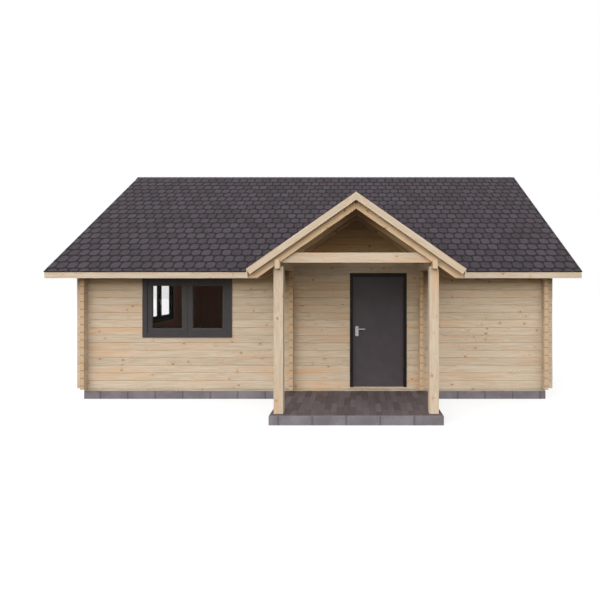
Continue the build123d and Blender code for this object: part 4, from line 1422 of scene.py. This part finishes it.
@dataclass
class WindowFittings:
    """Glazing beads, gaskets and inside handles on all four windows.

    Args:
        finishes: the finishes.
        casing: how far the casing stands out of the wall.
        pane_shift: distance of a pane's middle from the window's.
        pane_half: half a pane's width and half its height.
        sash_face: d of the sash's outer face.
        sash_back: d of the sash's inner face.
        recess: depth of the glass in the sash.
        bead: points of the bead's outer line: distance in from the sash, and depth in it.
        gasket: points of the gasket's section: distance in from the sash, and height over the glass.
        handle_u: place of the handle.
        handle: the handle's plate, neck and lever.
    """

    finishes: Finishes
    casing: float = 0.015
    pane_shift: float = 0.36225
    pane_half: Point = (0.27425, 0.392)
    sash_face: float = -0.0003
    sash_back: float = -0.0553
    recess: float = 0.0172
    bead: tuple[Point, ...] = ((0.0, 0.0025), (0.0035, 0.0025), (0.0120, 0.0125))
    gasket: tuple[Point, ...] = ((0.0120, 0.0), (0.0120, 0.0022), (0.0145, 0.0016), (0.0150, 0.0))
    handle_u: float = 0.048
    handle: tuple[Plate, ...] = (
        Plate((0.015, 0.035), 0.007, 0.0, -0.009, 0.002),
        Plate((0.009, 0.009), 0.0088, -0.008, -0.040, 0.001, 5),
        Plate((0.010, 0.060), 0.009, -0.034, -0.047, 0.003, drop=0.048),
    )

    def faces(self) -> Iterable[Face]:
        """The outer wall face at the middle of each window."""
        for wall, along, out in (
            ("front", RIGHT, -BACK), ("back", -RIGHT, BACK), ("left", -BACK, -RIGHT), ("right", BACK, RIGHT),
        ):
            low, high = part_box(f"{wall}_window_frame")
            middle = (low + high) / 2
            reach = max(low.dot(out), high.dot(out)) - self.casing
            yield Face(middle + out * (reach - middle.dot(out)), along, out)

    def build(self) -> None:
        """Builds the beads, the gaskets and the handles."""
        beads, gaskets, handles = MeshDraft(), MeshDraft(), MeshDraft()
        section = [(self.bead[0][0], self.recess), *self.bead, (self.bead[-1][0], self.recess)]
        for face in self.faces():
            for side in (-1, 1):
                middle = (side * self.pane_shift, 0.0)
                for level, way in ((self.sash_face, -1), (self.sash_back, 1)):
                    bead = [(inward, level + way * depth) for inward, depth in section]
                    glass = level + way * self.recess
                    strip = [(inward, glass - way * height) for inward, height in self.gasket]
                    face.hoop(beads, middle, self.pane_half, bead)
                    face.hoop(gaskets, middle, self.pane_half, strip)
            for plate in self.handle:
                face.fit(handles, plate, self.handle_u, 0.0, self.sash_back)
        # The beads carry the paler painted-highlight copy of the window paint.
        beads.finish("window_beads", self.finishes["glazing bead highlight coating"], "window_paint")
        gaskets.finish("window_gaskets", self.finishes["sealing strip"], "window_paint")
        handles.finish("window_handles", self.finishes["satin steel"], "handle_steel")


@dataclass
class DoorFittings:
    """Seals on the door's stop, lock cylinders and screw heads."""

    finishes: Finishes
    hinge_x: float = 1.5955
    hinge_count: int = 3
    flap: float = 0.003
    screw_steps: Point = (0.016, 0.029)
    screw_levels: Point = (0.013, 0.037)
    jamb: float = 0.042
    head: float = 0.052
    seal_inset: float = 0.006
    seal_half: float = 0.004
    stop_back: float = -3.030
    lock_drop: float = 0.119
    screw_inset: float = 0.010
    lock: tuple[Plate, Plate] = (
        Plate((0.0085, 0.0085), 0.0084, -0.0005, 0.0030, 0.0006, 6),
        Plate((0.0050, 0.0075), 0.0048, -0.0005, 0.0028, 0.0006, 4, drop=0.013),
    )
    # A raised black slit on each lock cylinder: painted shade standing for the dark keyway.
    keyhole_shade: Plate = Plate((0.0009, 0.0042), 0.0006, 0.0025, 0.0032, 0.0001, 2)
    plate_screw: Plate = Plate((0.0042, 0.0042), 0.0041, -0.0003, 0.0013, 0.0007, 4)
    flap_screw: Plate = Plate((0.0034, 0.0034), 0.0033, -0.0002, 0.0009, 0.0005, 4)

    def build(self) -> None:
        """Builds the seals, the lock cylinders and the screws."""
        self.seals()
        low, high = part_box("door_handle_plates")
        lock_u, lock_h = (low.x + high.x) / 2, high.z - self.lock_drop
        locks, screws, keyhole_shades, frame_screws = (MeshDraft() for _ in range(4))
        for face in (Face(BACK * low.y, RIGHT, -BACK), Face(BACK * high.y, RIGHT, BACK)):
            for plate in self.lock:
                face.fit(locks, plate, lock_u, lock_h)
            # Black slits on the cylinders: painted shade of the keyways.
            face.fit(keyhole_shades, self.keyhole_shade, lock_u, lock_h)
            for level in (low.z + self.screw_inset, high.z - self.screw_inset):
                face.fit(screws, self.plate_screw, lock_u, level)
        low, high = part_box("door_leaf")
        flaps = Face(BACK * (high.y + self.flap), RIGHT, BACK)
        for index in range(self.hinge_count):
            level = low.z + (high.z - low.z) * (index + 0.5) / self.hinge_count
            for along in self.screw_steps:
                for up in self.screw_levels:
                    for draft, way in ((screws, -1), (frame_screws, 1)):
                        flaps.fit(draft, self.flap_screw, self.hinge_x + way * along, level - way * up)
        locks.finish("lock_cylinders", self.finishes["hinge steel"], "handle_steel", DOOR)
        keyhole_shades.finish("keyhole_shade_slits", self.finishes["sealing strip"], "handle_steel", DOOR)
        screws.finish("door_screws", self.finishes["hinge steel"], "handle_steel", DOOR)
        frame_screws.finish("hinge_frame_screws", self.finishes["hinge steel"], "handle_steel")

    def seals(self) -> None:
        """Builds the black strip that the closed leaf rests on."""
        low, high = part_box("door_frame")
        stop = Face(BACK * self.stop_back, RIGHT, BACK)
        draft = MeshDraft()
        top = high.z - self.head - self.seal_inset
        left, right = low.x + self.jamb + self.seal_inset, high.x - self.jamb - self.seal_inset
        half_width, half_height = (right - left) / 2 + self.seal_half, (top - low.z) / 2
        for u, h, half in (
            (left, (low.z + top) / 2, (self.seal_half, half_height)),
            (right, (low.z + top) / 2, (self.seal_half, half_height)),
            ((left + right) / 2, top, (half_width, self.seal_half)),
        ):
            stop.fit(draft, Plate(half, corner=0.001, seat=-0.0002, face=0.0044, bevel=0.0014), u, h)
        draft.finish("door_seals", self.finishes["sealing strip"], "door_paint")


@dataclass
class Nails:
    """Nail heads on the fascias and the main barge boards, over the rafters and down the slopes."""

    finishes: Finishes
    bays: int = 10
    inner_x: float = 4.050
    verge_x: float = 4.5575
    edge: float = 0.025
    barge_step: float = 0.62
    barge_start: float = 0.06
    barge_depths: Point = (0.035, 0.082)
    barge_lift: float = 0.012
    head: Plate = Plate((0.0036, 0.0036), 0.003528, -0.0003, 0.0009, 0.0004)

    def build(self) -> None:
        """Builds every head."""
        draft = MeshDraft()
        bay = 2 * self.inner_x / self.bays
        rafters = [-self.verge_x, *(-self.inner_x + bay * index for index in range(1, self.bays)), self.verge_x]
        for node, side in (("fascia_front", -1), ("fascia_back", 1)):
            low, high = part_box(node)
            face = Face(BACK * (low.y if side < 0 else high.y), RIGHT, BACK * side)
            for x in rafters:
                if side > 0 or abs(x - PORCH_X) > PORCH_HALF_WIDTH + self.edge:
                    for level in (low.z + self.edge, high.z - self.edge):
                        face.fit(draft, self.head, x, level)
        for node, side in (("barge_boards_left", -1), ("barge_boards_right", 1)):
            low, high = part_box(node)
            face = Face(RIGHT * (low.x if side < 0 else high.x), BACK, RIGHT * side)
            for way in (-1, 1):
                for step in range(int(high.y / self.barge_step) + 1):
                    run = self.barge_start + step * self.barge_step
                    for depth in self.barge_depths:
                        drop = run * PITCH_TAN + depth / PITCH_COS
                        face.fit(draft, self.head, way * run, high.z - drop + self.barge_lift)
        draft.finish("fascia_nails", self.finishes["nail zinc"], "handle_steel")


@dataclass
class PorchPaving:
    """Narrow pavers on the porch slab, laid towards the door."""

    finishes: Finishes
    width: float = 0.098
    length: float = 0.46
    joint: float = 0.004
    thickness: float = 0.004
    sunk: float = 0.0008
    bed: float = 0.001
    edge: float = 0.0015
    margin: float = 0.012
    offset: float = 0.8
    least_length: float = 0.03
    seed: int = 31

    def build(self) -> None:
        """Lays the pavers."""
        low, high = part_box("porch_slab")
        draft, draw = MeshDraft(), random.Random(self.seed)
        columns = round((high.x - low.x - 2 * self.margin) / self.width)
        step = (high.x - low.x - 2 * self.margin) / columns
        back, half_joint = high.y - self.bed, self.joint / 2
        for column in range(columns):
            x0 = low.x + self.margin + column * step
            y = low.y + self.margin - self.length * draw.random() * self.offset
            while y < back:
                y0, y1 = max(y, low.y + self.margin), min(y + self.length, back)
                if y1 - y0 > self.least_length:
                    lift = self.thickness - self.sunk * draw.random()
                    corner = (x0 + half_joint, y0 + half_joint, high.z - self.bed)
                    far = (x0 + step - half_joint, y1 - half_joint, high.z + lift)
                    draft.block(corner, far, self.edge, draw.random())
                y += self.length
        draft.finish("porch_pavers", self.finishes["porch paving"], "concrete")


@dataclass
class Stage:
    """Camera, light and floor."""

    place: tuple[float, float, float] = (0.740, -11.229, 2.0875)
    lens: float = 27.48
    sensor: float = 36.0
    shift: Point = (-0.0937, -0.0300)
    far: float = 500.0
    glow: float = 2.08
    front_weight: float = 0.30
    left_weight: float = 0.44
    low_light: Colour = (0.60, 0.46, 0.23)
    middle_light: Colour = (1.12, 1.10, 1.08)
    high_light: Colour = (0.92, 0.96, 1.02)
    horizon: Point = (-0.06, 0.02)
    low_band: Point = (0.03, 0.32)
    high_band: Point = (0.55, 1.0)
    floor_size: float = 90.0
    floor_drop: float = 0.0005
    floor_glow: float = 0.70
    floor_pale: float = 0.80
    floor_dull: float = 0.03

    def camera(self) -> None:
        """Makes the level one-point camera of the photograph."""
        data = bpy.data.cameras.new("camera")
        data.sensor_width = self.sensor
        data.lens = self.lens
        data.shift_x, data.shift_y = self.shift
        data.clip_end = self.far
        camera = bpy.data.objects.new("camera", data)
        camera.location = self.place
        camera.rotation_euler = (math.pi / 2, 0.0, 0.0)
        bpy.context.scene.collection.objects.link(camera)
        bpy.context.scene.camera = camera

    def light(self) -> None:
        """Makes the soft dome, brighter in front and on the left, with a white background."""
        world = bpy.data.worlds.new("soft dome")
        bpy.context.scene.world = world
        world.use_nodes = True
        kit = Kit(world.node_tree)
        sky = world.node_tree.nodes["Background"]
        x, y, z = kit.split(kit.add("TexCoord").outputs["Generated"])
        level = kit.line(x, -self.left_weight, kit.line(y, -self.front_weight, 1.0))
        level = kit.times(level, kit.mask(z, *self.horizon))
        kit.feed(sky, "Strength", kit.times(level, self.glow))
        tint = kit.blend(kit.mask(z, *self.low_band), self.low_light, self.middle_light)
        kit.feed(sky, "Color", kit.blend(kit.mask(z, *self.high_band), tint, self.high_light))
        white = kit.add("Background", {"Color": (1.0, 1.0, 1.0), "Strength": 1.0})
        pick = kit.add("MixShader", {0: kit.background_rays(), 1: sky.outputs[0], 2: white.outputs[0]})
        kit.feed(world.node_tree.nodes["World Output"], "Surface", pick.outputs[0])

    def floor(self) -> None:
        """Makes the pale floor, which keeps the house's shadow."""
        mesh = bpy.data.meshes.new("floor")
        half = self.floor_size / 2
        mesh.from_pydata([(side_x * half, side_y * half, 0.0) for side_x, side_y in QUARTERS], [], [(0, 1, 2, 3)])
        floor = bpy.data.objects.new("floor", mesh)
        bpy.context.scene.collection.objects.link(floor)
        floor.location.z = -self.floor_drop
        material = bpy.data.materials.new("pale floor")
        material.use_nodes = True
        kit = Kit(material.node_tree)
        nodes = {node.type: node for node in kit.tree.nodes}
        kit.tree.nodes.remove(nodes["BSDF_PRINCIPLED"])
        shade, dull = (kit.add("BsdfDiffuse", {"Color": (grey,) * 3}) for grey in (self.floor_pale, self.floor_dull))
        bright = kit.add("Emission", {"Color": (1.0, 1.0, 1.0), "Strength": 1.0})
        shown = kit.add("MixShader", {0: self.floor_glow, 1: shade.outputs[0], 2: bright.outputs[0]})
        pick = kit.add("MixShader", {0: kit.background_rays(), 1: dull.outputs[0], 2: shown.outputs[0]})
        kit.feed(nodes["OUTPUT_MATERIAL"], "Surface", pick.outputs[0])
        mesh.materials.append(material)

    def build(self) -> None:
        """Sets the stage."""
        bpy.context.scene.view_settings.view_transform = "Standard"
        self.camera()
        self.light()
        self.floor()
        LOG.info("stage set")


def main() -> None:
    """Builds every part of the looks, in order."""
    logging.basicConfig(level=logging.INFO, format="%(name)s: %(message)s")
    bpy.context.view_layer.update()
    Stage().build()
    finishes = Finishes()
    dress_nodes(finishes)
    for part in (ShingleRoof, Boarding, PorchPaving, WindowFittings, DoorFittings, Nails):
        part(finishes).build()


if __name__ == "__main__":
    main()
